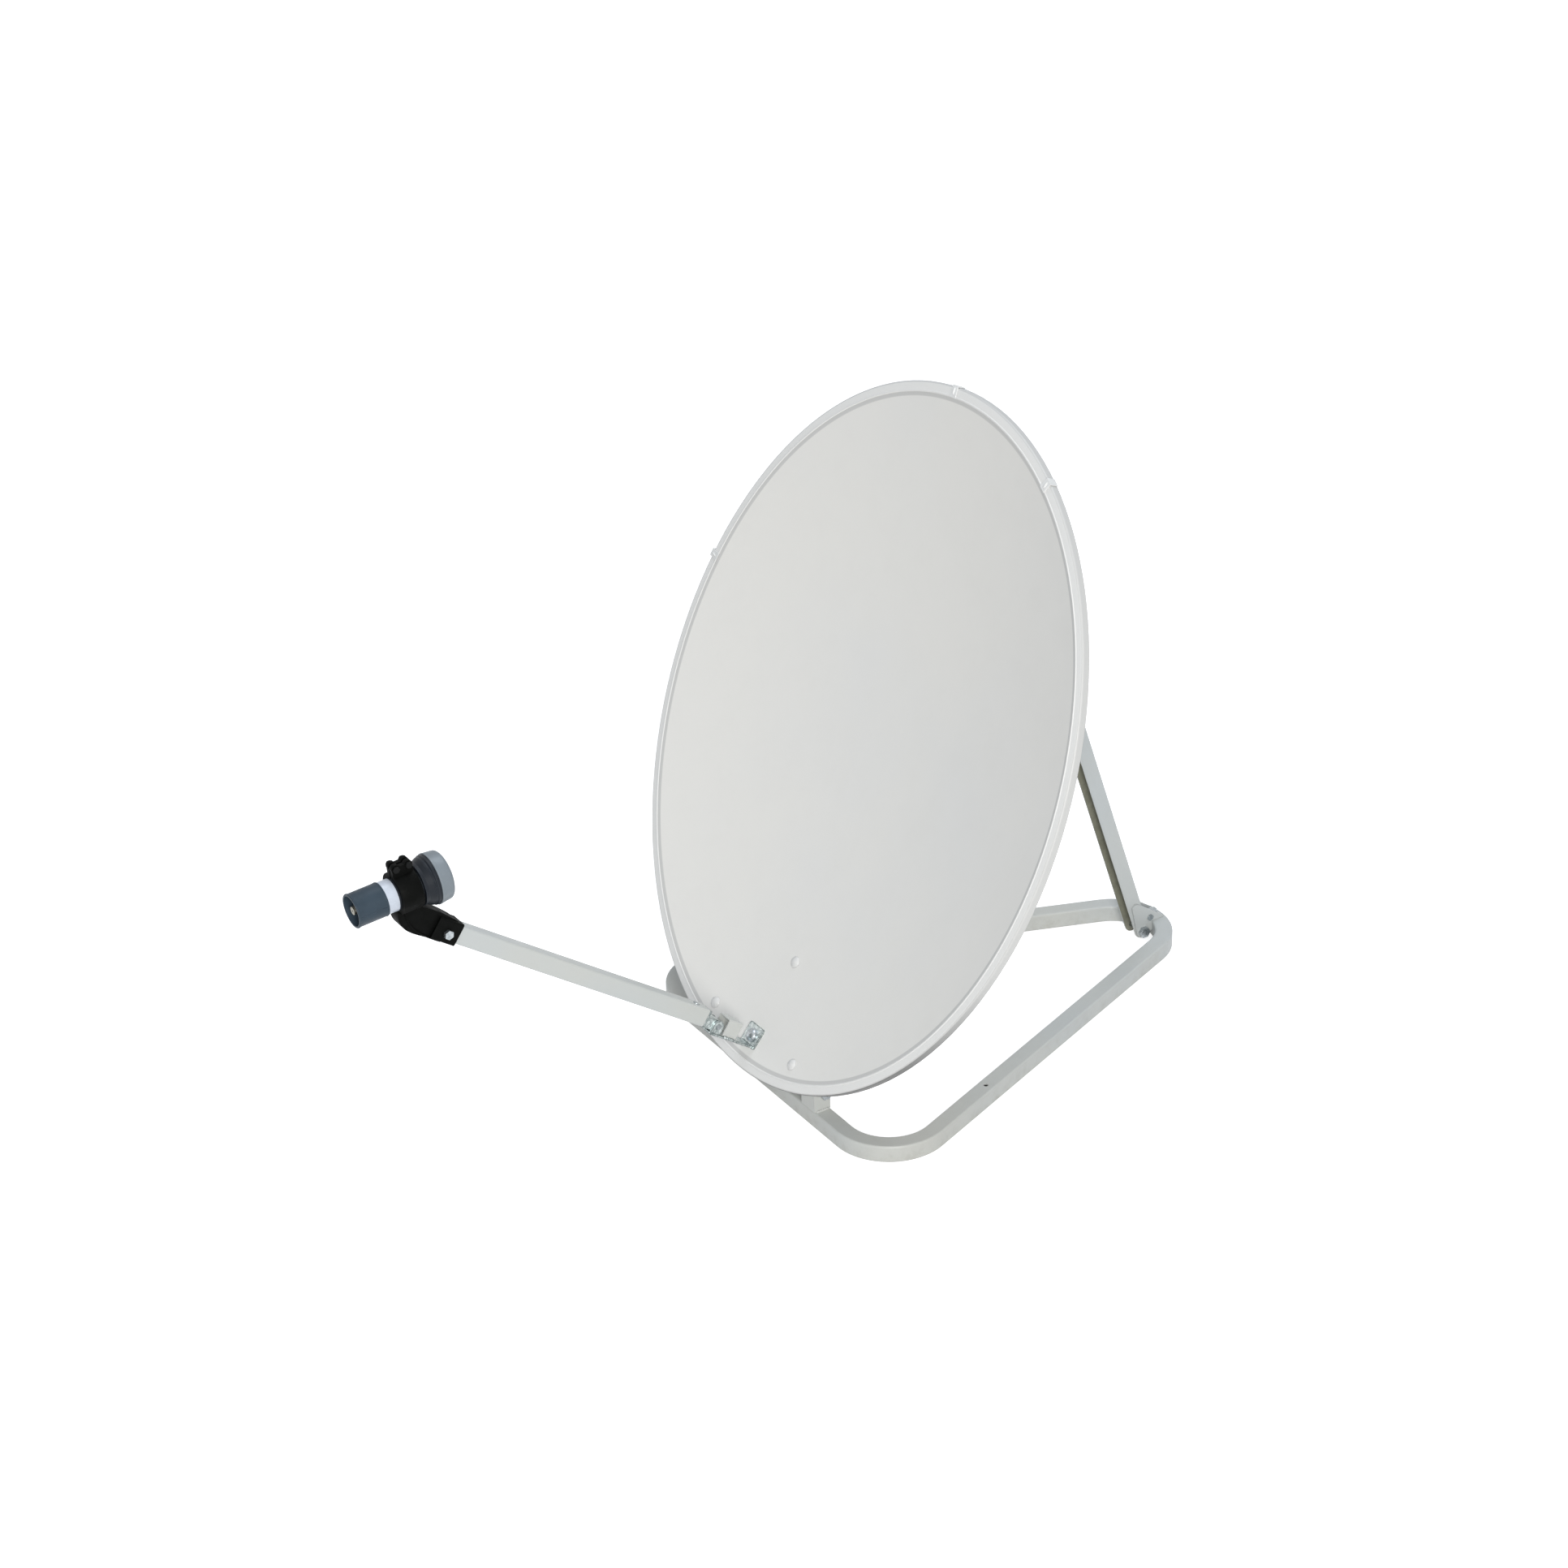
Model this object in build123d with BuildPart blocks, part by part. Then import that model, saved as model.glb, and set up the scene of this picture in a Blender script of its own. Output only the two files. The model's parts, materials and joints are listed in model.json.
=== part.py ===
from build123d import *
import math
import os

# Portable offset satellite dish on a folding ground stand.
# Millimetres, +Z up, the dish looks along -Y and +X is its left-hand side as it looks out.
# The origin is on the ground, under the middle of the stand's front tube.

os.makedirs("parts", exist_ok=True)

# ---------------------------------------------------------------- driving sizes
# Square tube of the stand, the back frame and the feed arm
TUBE = 22.0
TUBE_WALL = 1.5
TUBE_CORNER = 2.5

# Base loop: a rounded triangle that lies on the ground
LOOP_WIDTH = 486.8
LOOP_LENGTH = 588.9
LOOP_BEND = 63.0
PEG_HOLE = 5.5
PEG_HOLE_ALONG = 108.0

# Reflector: a pressed offset bowl with a flat flange and a wall turned back
DISH_WIDTH = 750.0
DISH_HEIGHT = 848.0
DISH_FLANGE = 11.0
DISH_WALL = 10.0
DISH_DEPTH = 60.0
DISH_SHEET = 1.2
DISH_EDGE_ROUND = 2.4
DISH_LEAN = 24.1
DISH_FOOT_Y = -32.8
DISH_FOOT_Z = 24.8
EDGE_V = DISH_HEIGHT / 2

# Hinge posts on the front tube, and the tilt axis through them
POST_SPACING = 240.0
POST_TOP = 58.0
POST_WALL = 2.5
POST_SIDE_GAP = 0.5
TILT_AXIS_Y = 3.5
TILT_AXIS_Z = 45.0
TILT_RANGE = 10.0

# Back frame: a hoop parallel to the rim
HOOP_DEPTH = 78.0
HOOP_TOP = EDGE_V - 94
HOOP_TOP_BEND = 45.0
HOOP_FOOT_BEND = 35.0

# Brackets between the hoop and the bowl
BRACKET_SHEET = 2.5
LOWER_BRACKET_V = 58 - EDGE_V
LOWER_BRACKET_TALL = 52.0
LOWER_BRACKET_CUT = 14.0
LOWER_EAR_V = 104 - EDGE_V
UPPER_BRACKET_V = EDGE_V - 162
UPPER_BRACKET_TALL = 36.0
STRAP_WIDTH = 36.0
STRAP_TOP_V = 156 - EDGE_V
EAR_ROUND = 11.0
FACE_BOLT_X = 84.5
FACE_BOLT_V = 44 - EDGE_V
STRAP_BOLT_V = 139 - EDGE_V

# Rear strut: an open channel below, a slim tube that telescopes in it above
CHANNEL_WIDTH = 22.0
CHANNEL_DEPTH = 20.0
CHANNEL_WALL = 1.5
CHANNEL_PAST_SLOT = 30.0
CHANNEL_WEB_START = 14.0
STRUT_FOOT_Y = 562.5
STRUT_FOOT_Z = 11.0
STRUT_TOP_V = EDGE_V - 124
STRUT_TOP_DEPTH = 100.5
BAR_WIDTH = 15.0
BAR_DEPTH = 12.0
BAR_WALL = 1.5
BAR_LENGTH = 385.0
BAR_WEB_GAP = 4.2
CLAMP_FROM_END = 85.0
CLAMP_HEAD = 11.0
SLOT_SPARE = 3.0
KNOB_FLANGE_RADIUS = 8.0
KNOB_FLANGE = 1.6
KNOB_HUB_RADIUS = 6.0
KNOB_HUB = 9.0
KNOB_WING = 3.0
KNOB_TIP_SIDE = 13.0
KNOB_TIP_HEIGHT = 12.0
KNOB_TIP_RADIUS = 4.0

# Foot bracket of the strut
FOOT_SHEET = 2.5
FOOT_SIDE_GAP = 0.3
STOP_PIN = 6.0
STOP_PIN_Z = 28.0

# Feed arm and its folding hinge, measured along the arm from the rim plane
ARM_FOOT_V = 46 - EDGE_V
ARM_RISE = 35.57
ARM_START = 79.6
ARM_END = 485.0
FOLD_PIN_ALONG = 56.0
FOLD_PIN_HEIGHT = -5.0
STUB_START = 24.0
STUB_LENGTH = 21.5
STUB_DROP = 3.0
LEAF_SHEET = 2.5
LEAF_EAR_GAP = 15.4
LEAF_EAR_SHEET = 2.5
LEAF_EAR_ROUND = 7.5
TONGUE_WIDTH = 15.0
TONGUE_ROUND = 7.0
PLUG_LENGTH = 32.0
PLUG_GAP = 0.2
LEAF_FOOT_WIDTH = 28.0
LEAF_FOOT_TALL = 27.0
BASE_WASHER_RADIUS = 8.5
BASE_WASHER_SHEET = 1.6
ARM_BOLT_V = 40.5 - EDGE_V

# Low-noise block on the arm, measured along its own axis from the cap's rim
LNB_FORWARD = 522.9
LNB_HEIGHT = 48.6
LNB_RISE = 4.75
LNB_CORE = 15.0
BODY_RADIUS = 19.5
BODY_REAR = -100.0
BODY_FRONT = -63.0
SHROUD_DEPTH = 16.0
SHROUD_WALL = 2.0
BAND_RADIUS = 18.8
BAND_FRONT = -50.0
NECK_RADIUS = 19.0
NECK_FRONT = -20.0
COLLAR_RADIUS = 29.0
COLLAR_REAR_RADIUS = 24.5
CAP_REAR = -3.0
CAP_RADIUS = 30.0
CAP_FRONT_RADIUS = 28.0
CAP_LENGTH = 19.0
CAP_WALL = 1.8
CAP_EDGE = 6.0
CONNECTOR_RADIUS = 4.76
CONNECTOR_HEX = 11.0
CONNECTOR_HEX_LENGTH = 3.0
CONNECTOR_PROUD = 1.5
CONNECTOR_BORE = 1.2

# Holder of the low-noise block
SOCKET_WALL = 2.5
SOCKET_GAP = 0.15
SOCKET_START = 463.0
SOCKET_END = 497.0
CLAMP_WALL = 5.5
CLAMP_REAR = -48.0
CLAMP_FRONT = -22.5
CLAMP_SLIT = 3.0
CLAMP_EAR_SHEET = 5.5
CLAMP_EAR_HEIGHT = 33.0
CLAMP_EAR_ROUND = 5.0
HOLDER_BOLT_ALONG = 478.5
HOLDER_BOLT_HEIGHT = -2.0

# Clips that hook over the rim: angle round the rim, from the dish's +X side
CLIP_ANGLES = (95.0, 166.7, 63.0)
CLIP_WIDTH = 10.0
CLIP_SHEET = 1.2

# Fasteners: shank radius, head or nut width across flats, head or nut height
M8 = (4.0, 13.0, 5.3)
M6 = (3.0, 10.0, 4.2)
M4 = (2.0, 7.0, 2.8)
FIT = 0.05
HOLE_GAP = 0.2
SEAT = 0.05
FACE_SEAT = 0.2

# ---------------------------------------------------------------- derived frames
HALF = TUBE / 2
LEAN_SIN = math.sin(math.radians(DISH_LEAN))
LEAN_COS = math.cos(math.radians(DISH_LEAN))
BOWL_X = DISH_WIDTH / 2 - DISH_FLANGE
BOWL_V = BOWL_X * DISH_HEIGHT / DISH_WIDTH
POST_X = POST_SPACING / 2
LEG_INNER_X = POST_X - HALF
DISH_CENTRE_Y = DISH_FOOT_Y + EDGE_V * LEAN_SIN
DISH_CENTRE_Z = DISH_FOOT_Z + EDGE_V * LEAN_COS

DISH = Plane(
    origin=(0, DISH_CENTRE_Y, DISH_CENTRE_Z), x_dir=(1, 0, 0), z_dir=(0, -LEAN_COS, LEAN_SIN)
)


def behind(depth, v):
    """World Y and Z of a mid-plane point, given its depth behind the rim plane and its height v."""
    y = DISH_CENTRE_Y + v * LEAN_SIN + depth * LEAN_COS
    z = DISH_CENTRE_Z + v * LEAN_COS - depth * LEAN_SIN
    return y, z


def dish_side(x):
    """Plane across the dish at x, whose axes are depth behind the rim plane and height v."""
    return Plane(
        origin=(x, DISH_CENTRE_Y, DISH_CENTRE_Z), x_dir=(0, LEAN_COS, -LEAN_SIN), z_dir=(1, 0, 0)
    )


def bowl_depth(x, v):
    """Depth of the bowl's front face behind the rim plane."""
    return DISH_DEPTH * (1 - (x / BOWL_X) ** 2 - (v / BOWL_V) ** 2)


def bowl_plane(x, v):
    """Plane that touches the bowl's front face at x and v, with its normal to the front."""
    origin = DISH.from_local_coords(Vector(x, v, -bowl_depth(x, v)))
    slope = Vector(-2 * DISH_DEPTH * x / BOWL_X**2, -2 * DISH_DEPTH * v / BOWL_V**2, 1)
    tip = DISH.from_local_coords(Vector(x, v, -bowl_depth(x, v)) + slope)
    return Plane(origin=origin, x_dir=(1, 0, 0), z_dir=tip - origin)


def cross_plane(x, y, z, toward=1):
    """Plane across the object at x, with its normal along X."""
    return Plane(origin=(x, y, z), x_dir=(0, 1, 0), z_dir=(toward, 0, 0))


# Arm: axis in the mid-plane, through the rim plane at ARM_FOOT_V
ARM_FOOT = behind(0, ARM_FOOT_V)
ARM_COS = math.cos(math.radians(ARM_RISE))
ARM_SIN = math.sin(math.radians(ARM_RISE))
ARM_SIDE = Plane(
    origin=(0, *ARM_FOOT), x_dir=(0, -ARM_COS, ARM_SIN), z_dir=(-1, 0, 0)
)


def arm_section(along, height=0.0):
    """Plane square to the arm, with its normal away from the dish."""
    origin = ARM_SIDE.from_local_coords(Vector(along, height, 0))
    return Plane(origin=origin, x_dir=(1, 0, 0), z_dir=(0, -ARM_COS, ARM_SIN))


def arm_cross(along, height, x, toward=1):
    """Plane across the arm at x, with its normal along X."""
    centre = ARM_SIDE.from_local_coords(Vector(along, height, 0))
    return Plane(origin=(x, centre.Y, centre.Z), x_dir=(0, -ARM_COS, ARM_SIN), z_dir=(toward, 0, 0))


def arm_meets_bowl(height):
    """Distance along the arm at which a line at some height above its axis meets the bowl."""
    along = 0.0
    for _ in range(8):
        spot = DISH.to_local_coords(ARM_SIDE.from_local_coords(Vector(along, height, 0)))
        along -= spot.Z + bowl_depth(0, spot.Y)
    return along


# Low-noise block: its axis lies in the mid-plane and looks back at the dish
LNB_COS = math.cos(math.radians(LNB_RISE))
LNB_SIN = math.sin(math.radians(LNB_RISE))
LNB_ORIGIN = ARM_SIDE.from_local_coords(Vector(LNB_FORWARD, LNB_HEIGHT, 0))
LNB_SIDE = Plane(origin=LNB_ORIGIN, x_dir=(0, LNB_COS, LNB_SIN), z_dir=(1, 0, 0))
LNB_FACE = Plane(origin=LNB_ORIGIN, x_dir=(-1, 0, 0), z_dir=(0, LNB_COS, LNB_SIN))
LNB_AXIS = Axis(LNB_ORIGIN, (0, LNB_COS, LNB_SIN))

# Strut: the channel turns about its foot, the bar hangs from the back frame
STRUT_TOP_Y, STRUT_TOP_Z = behind(STRUT_TOP_DEPTH, STRUT_TOP_V)
BAR_OFFSET = CHANNEL_DEPTH / 2 - CHANNEL_WALL - BAR_WEB_GAP - BAR_DEPTH / 2


def strut_reach(tilt):
    """Distance from the strut's foot to its top pivot with the dish tilted back by some degrees."""
    turn = math.radians(tilt)
    y = STRUT_TOP_Y - TILT_AXIS_Y
    z = STRUT_TOP_Z - TILT_AXIS_Z
    turned_y = TILT_AXIS_Y + y * math.cos(turn) + z * math.sin(turn)
    turned_z = TILT_AXIS_Z + z * math.cos(turn) - y * math.sin(turn)
    return math.hypot(turned_y - STRUT_FOOT_Y, turned_z - STRUT_FOOT_Z)


STRUT_REST = strut_reach(0)
STRUT_ANGLE = math.atan2(STRUT_TOP_Z - STRUT_FOOT_Z, STRUT_TOP_Y - STRUT_FOOT_Y)
STRUT_ANGLE += math.asin(BAR_OFFSET / STRUT_REST)
STRUT_SIDE = Plane(
    origin=(0, STRUT_FOOT_Y, STRUT_FOOT_Z),
    x_dir=(0, math.cos(STRUT_ANGLE), math.sin(STRUT_ANGLE)),
    z_dir=(-1, 0, 0),
)
BAR_TOP_ALONG = math.sqrt(STRUT_REST**2 - BAR_OFFSET**2)


def strut_face(along, back=0.0):
    """Plane on the strut with its normal to the rear."""
    origin = STRUT_SIDE.from_local_coords(Vector(along, back, 0))
    return Plane(origin=origin, x_dir=(1, 0, 0), z_dir=STRUT_SIDE.y_dir)


def strut_section(along, back=0.0):
    """Plane square to the strut, with its normal up the strut."""
    origin = STRUT_SIDE.from_local_coords(Vector(along, back, 0))
    return Plane(origin=origin, x_dir=(1, 0, 0), z_dir=STRUT_SIDE.x_dir)


# ---------------------------------------------------------------- shared shapes
def rod(plane, radius, start, end, mode=Mode.ADD):
    """Round bar or bore about the plane's normal, between two distances along it."""
    with BuildSketch(plane.offset(start)) as disc:
        Circle(radius)
    extrude(disc.sketch, amount=end - start, mode=mode)


def hexagon(plane, across, start, end):
    """Six-sided bar about the plane's normal, between two distances along it."""
    with BuildSketch(plane.offset(start)) as outline:
        RegularPolygon(across / 2, 6, major_radius=False)
    extrude(outline.sketch, amount=end - start)


def hex_bolt(plane, size, length):
    """Bolt whose head sits behind the plane and whose shank runs along its normal."""
    radius, across, height = size
    hexagon(plane, across, -height, 0)
    rod(plane, radius, 0, length)


def hex_nut(plane, size, start):
    """Nut about the plane's normal that begins at a distance along it."""
    radius, across, height = size
    hexagon(plane, across, start, start + height)
    rod(plane, radius + FIT, start, start + height, mode=Mode.SUBTRACT)


def carriage_bolt(plane, size, length):
    """Domed bolt whose head stands in front of the plane and whose shank runs back from it."""
    radius = size[0]
    head_radius = 2.4 * radius
    head_height = 1.1 * radius
    dome_radius = (head_radius**2 + head_height**2) / (2 * head_height)
    dome_span = math.degrees(math.asin(head_radius / dome_radius))
    rod(plane, radius, -length, 0)
    with BuildSketch(Plane(origin=plane.origin, x_dir=plane.x_dir, z_dir=-plane.y_dir)) as dome:
        with BuildLine():
            CenterArc((0, head_height - dome_radius), dome_radius, 90 - dome_span, dome_span)
            Line((0, head_height), (0, 0))
            Line((0, 0), (head_radius, 0))
        make_face()
    revolve(dome.sketch, axis=Axis(plane.origin, plane.z_dir))


def tube_profile():
    """Section of the square tube, hollow, with rounded corners."""
    inside = TUBE - 2 * TUBE_WALL
    RectangleRounded(TUBE, TUBE, TUBE_CORNER)
    RectangleRounded(inside, inside, max(TUBE_CORNER - TUBE_WALL, 0.3), mode=Mode.SUBTRACT)


def loop_region(growth):
    """Area inside the loop's centre line, grown by some width."""
    with BuildSketch(mode=Mode.PRIVATE) as region:
        front_x = LOOP_WIDTH / 2 - LOOP_BEND
        with Locations((-front_x, LOOP_BEND), (front_x, LOOP_BEND), (0, LOOP_LENGTH - LOOP_BEND)):
            Circle(LOOP_BEND + growth)
        make_hull()
    return region.sketch


def loop_band(growth):
    """Band along the loop's centre line that reaches growth to each side."""
    add(loop_region(growth))
    add(loop_region(-growth), mode=Mode.SUBTRACT)


def finish(builder, name):
    """Label a finished piece and write its file."""
    builder.part.label = name
    export_step(builder.part, f"parts/{name}.step")


# ---------------------------------------------------------------- stand
# Middle of the straight side tube where its peg hole is, PEG_HOLE_ALONG from the front bend
SIDE_RUN_X = LOOP_WIDTH / 2 - LOOP_BEND
SIDE_RUN_Y = LOOP_LENGTH - 2 * LOOP_BEND
SIDE_RUN = math.hypot(SIDE_RUN_X, SIDE_RUN_Y)
SIDE_OUT_X = SIDE_RUN_Y / SIDE_RUN
SIDE_OUT_Y = SIDE_RUN_X / SIDE_RUN
PEG_X = SIDE_RUN_X + LOOP_BEND * SIDE_OUT_X - PEG_HOLE_ALONG * SIDE_OUT_Y
PEG_Y = LOOP_BEND + LOOP_BEND * SIDE_OUT_Y + PEG_HOLE_ALONG * SIDE_OUT_X
SADDLE_SCREW_Y = LOOP_LENGTH - 1.5

with BuildPart() as base_loop:
    with BuildSketch():
        loop_band(HALF)
    extrude(amount=TUBE)
    rims = base_loop.edges().group_by(Axis.Z)
    fillet(rims[0] + rims[-1], radius=TUBE_CORNER)
    with BuildSketch(Plane.XY.offset(TUBE_WALL)):
        loop_band(HALF - TUBE_WALL)
    extrude(amount=TUBE - 2 * TUBE_WALL, mode=Mode.SUBTRACT)
    with BuildSketch(Plane.XY.offset(TUBE)):
        with Locations((PEG_X, PEG_Y), (-PEG_X, PEG_Y)):
            Circle(PEG_HOLE / 2)
    extrude(amount=-TUBE, mode=Mode.SUBTRACT)
    with BuildSketch(Plane.XY.offset(TUBE)):
        with Locations((0, SADDLE_SCREW_Y)):
            Circle(M6[0] + HOLE_GAP)
    extrude(amount=-2 * TUBE_WALL, mode=Mode.SUBTRACT)
finish(base_loop, "base_loop")

POST_WIDTH = TUBE + 2 * (POST_SIDE_GAP + POST_WALL)
POST_GAP_WIDTH = TUBE + 2 * POST_SIDE_GAP
for side, side_name in ((-1, "left"), (1, "right")):
    with BuildPart() as hinge_post:
        with BuildSketch(Plane.YZ.offset(side * POST_X - POST_WIDTH / 2)):
            with BuildLine():
                Polyline(
                    (-HALF, TUBE),
                    (HALF, TUBE),
                    (HALF, TILT_AXIS_Z + HALF / 3),
                    (HALF / 2, POST_TOP),
                    (-HALF, POST_TOP),
                    (-HALF, TUBE),
                )
            make_face()
        extrude(amount=POST_WIDTH)
        with BuildSketch(Plane.YZ.offset(side * POST_X - POST_GAP_WIDTH / 2)):
            with Locations((-HALF + POST_WALL, TUBE)):
                Rectangle(2 * TUBE, POST_TOP, align=(Align.MIN, Align.MIN))
        extrude(amount=POST_GAP_WIDTH, mode=Mode.SUBTRACT)
        rod(
            cross_plane(side * POST_X, TILT_AXIS_Y, TILT_AXIS_Z),
            M8[0] + FIT, -POST_WIDTH, POST_WIDTH, mode=Mode.SUBTRACT,
        )
    finish(hinge_post, f"hinge_post_{side_name}")

with BuildPart() as frame_pivot_bolts:
    for side in (-1, 1):
        outer = cross_plane(side * (POST_X + POST_WIDTH / 2 + SEAT), TILT_AXIS_Y, TILT_AXIS_Z, -side)
        hex_bolt(outer, M8, POST_WIDTH + M8[2] + 2)
finish(frame_pivot_bolts, "frame_pivot_bolts")

with BuildPart() as frame_pivot_nuts:
    for side in (-1, 1):
        inner = cross_plane(side * (POST_X - POST_WIDTH / 2 - SEAT), TILT_AXIS_Y, TILT_AXIS_Z, -side)
        hex_nut(inner, M8, 0)
finish(frame_pivot_nuts, "frame_pivot_nuts")

# Foot bracket: a folded saddle on the rear tube with an ear each side of the strut
EAR_INNER_X = CHANNEL_WIDTH / 2 + FOOT_SIDE_GAP
EAR_OUTER_X = EAR_INNER_X + FOOT_SHEET
REAR_TUBE_FRONT = LOOP_LENGTH - HALF
REAR_TUBE_BACK = LOOP_LENGTH + HALF
STRUT_TURN = math.radians(0.69 * TILT_RANGE)
STEEP_ANGLE = STRUT_ANGLE - STRUT_TURN
STOP_PIN_Y = STRUT_FOOT_Y + (CHANNEL_DEPTH / 2 + STOP_PIN / 2 + 0.6) / math.sin(STEEP_ANGLE)
STOP_PIN_Y += (STOP_PIN_Z - STRUT_FOOT_Z) / math.tan(STEEP_ANGLE)

with BuildPart() as foot_bracket:
    for start in (-EAR_OUTER_X, EAR_INNER_X):
        with BuildSketch(Plane.YZ.offset(start)):
            with Locations((STRUT_FOOT_Y, STRUT_FOOT_Z)):
                Circle(CHANNEL_DEPTH / 2 - 1)
            with Locations((STRUT_FOOT_Y - 11, STRUT_FOOT_Z + 36)):
                Circle(6)
            with Locations((REAR_TUBE_BACK - 6, TUBE + FOOT_SHEET / 2)):
                Circle(FOOT_SHEET / 2)
            make_hull()
        extrude(amount=FOOT_SHEET)
    with BuildSketch(Plane.XY.offset(TUBE)):
        with Locations((0, REAR_TUBE_FRONT - 3)):
            Rectangle(2 * EAR_OUTER_X, TUBE - 2, align=(Align.CENTER, Align.MIN))
    extrude(amount=FOOT_SHEET)
    with BuildSketch():
        loop_band(HALF + SEAT)
    extrude(amount=TUBE, mode=Mode.SUBTRACT)
    rod(
        cross_plane(0, STRUT_FOOT_Y, STRUT_FOOT_Z),
        M8[0] + FIT, -EAR_OUTER_X - 1, EAR_OUTER_X + 1, mode=Mode.SUBTRACT,
    )
    rod(
        cross_plane(0, STOP_PIN_Y, STOP_PIN_Z),
        STOP_PIN / 2 + FIT, -EAR_OUTER_X - 1, EAR_OUTER_X + 1, mode=Mode.SUBTRACT,
    )
    rod(
        Plane(origin=(0, SADDLE_SCREW_Y, TUBE)),
        M6[0] + HOLE_GAP, -1, FOOT_SHEET + 1, mode=Mode.SUBTRACT,
    )
finish(foot_bracket, "foot_bracket")

with BuildPart() as foot_bracket_screw:
    saddle_top = Plane(origin=(0, SADDLE_SCREW_Y, TUBE + FOOT_SHEET + SEAT), z_dir=(0, 0, -1))
    hex_bolt(saddle_top, M6, 12)
finish(foot_bracket_screw, "foot_bracket_screw")

with BuildPart() as strut_stop_pin:
    rod(cross_plane(0, STOP_PIN_Y, STOP_PIN_Z), STOP_PIN / 2, -EAR_OUTER_X - 1, EAR_OUTER_X + 1)
    for end in (-1, 1):
        peen = cross_plane(end * (EAR_OUTER_X + SEAT), STOP_PIN_Y, STOP_PIN_Z, end)
        rod(peen, STOP_PIN / 2 + 1.2, 0, 1.6)
finish(strut_stop_pin, "strut_stop_pin")

with BuildPart() as strut_pivot_bolt:
    hex_bolt(
        cross_plane(EAR_OUTER_X + SEAT, STRUT_FOOT_Y, STRUT_FOOT_Z, -1), M8, 2 * EAR_OUTER_X + M8[2] + 2
    )
finish(strut_pivot_bolt, "strut_pivot_bolt")

with BuildPart() as strut_pivot_nut:
    hex_nut(cross_plane(-EAR_OUTER_X - SEAT, STRUT_FOOT_Y, STRUT_FOOT_Z, -1), M8, 0)
finish(strut_pivot_nut, "strut_pivot_nut")

# ---------------------------------------------------------------- strut
CLAMP_ALONG = BAR_TOP_ALONG - BAR_LENGTH + CLAMP_FROM_END
SLOT_LOW = CLAMP_ALONG - (STRUT_REST - strut_reach(TILT_RANGE)) - SLOT_SPARE
SLOT_HIGH = CLAMP_ALONG + (strut_reach(-TILT_RANGE) - STRUT_REST) + SLOT_SPARE
SLOT_RADIUS = M6[0] + 0.4
CHANNEL_LENGTH = SLOT_HIGH + CHANNEL_PAST_SLOT

with BuildPart() as strut_channel:
    with BuildSketch(STRUT_SIDE.offset(-CHANNEL_WIDTH / 2)):
        Circle(CHANNEL_DEPTH / 2)
        Rectangle(CHANNEL_LENGTH, CHANNEL_DEPTH, align=(Align.MIN, Align.CENTER))
    extrude(amount=CHANNEL_WIDTH)
    with BuildSketch(STRUT_SIDE.offset(-CHANNEL_WIDTH / 2 + CHANNEL_WALL)):
        with Locations((-CHANNEL_DEPTH, -CHANNEL_WALL)):
            Rectangle(
                CHANNEL_LENGTH + 2 * CHANNEL_DEPTH, CHANNEL_DEPTH, align=(Align.MIN, Align.CENTER)
            )
        with Locations((-CHANNEL_DEPTH, 0)):
            Rectangle(
                CHANNEL_DEPTH + CHANNEL_WEB_START, 2 * CHANNEL_DEPTH, align=(Align.MIN, Align.CENTER)
            )
    extrude(amount=CHANNEL_WIDTH - 2 * CHANNEL_WALL, mode=Mode.SUBTRACT)
    with BuildSketch(strut_face((SLOT_LOW + SLOT_HIGH) / 2)):
        SlotCenterToCenter(SLOT_HIGH - SLOT_LOW, 2 * SLOT_RADIUS, rotation=90)
    extrude(amount=CHANNEL_DEPTH, mode=Mode.SUBTRACT)
    rod(
        cross_plane(0, STRUT_FOOT_Y, STRUT_FOOT_Z),
        M8[0] + FIT, -CHANNEL_WIDTH, CHANNEL_WIDTH, mode=Mode.SUBTRACT,
    )
finish(strut_channel, "strut_channel")

with BuildPart() as strut_bar:
    with BuildSketch(STRUT_SIDE.offset(-BAR_WIDTH / 2)):
        with Locations((BAR_TOP_ALONG, BAR_OFFSET)):
            Circle(BAR_DEPTH / 2)
            Rectangle(BAR_LENGTH, BAR_DEPTH, align=(Align.MAX, Align.CENTER))
    extrude(amount=BAR_WIDTH)
    with BuildSketch(strut_section(BAR_TOP_ALONG - BAR_LENGTH, BAR_OFFSET)):
        RectangleRounded(BAR_WIDTH - 2 * BAR_WALL, BAR_DEPTH - 2 * BAR_WALL, 0.8)
    extrude(amount=BAR_LENGTH - BAR_DEPTH, mode=Mode.SUBTRACT)
    rod(
        cross_plane(0, STRUT_TOP_Y, STRUT_TOP_Z),
        M8[0] + FIT, -BAR_WIDTH, BAR_WIDTH, mode=Mode.SUBTRACT,
    )
    rod(
        strut_face(CLAMP_ALONG, BAR_OFFSET),
        M6[0] + FIT, -BAR_DEPTH, BAR_DEPTH, mode=Mode.SUBTRACT,
    )
finish(strut_bar, "strut_bar")

WEB_BACK = CHANNEL_DEPTH / 2
with BuildPart() as strut_clamp_bolt:
    head_seat = strut_face(CLAMP_ALONG, BAR_OFFSET - BAR_DEPTH / 2 - SEAT)
    carriage_length = WEB_BACK - BAR_OFFSET + BAR_DEPTH / 2 + 14
    rod(head_seat, M6[0], 0, carriage_length)
    with BuildSketch(head_seat):
        RectangleRounded(CLAMP_HEAD, CLAMP_HEAD, 1.5)
    extrude(amount=-2)
finish(strut_clamp_bolt, "strut_clamp_bolt")

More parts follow.
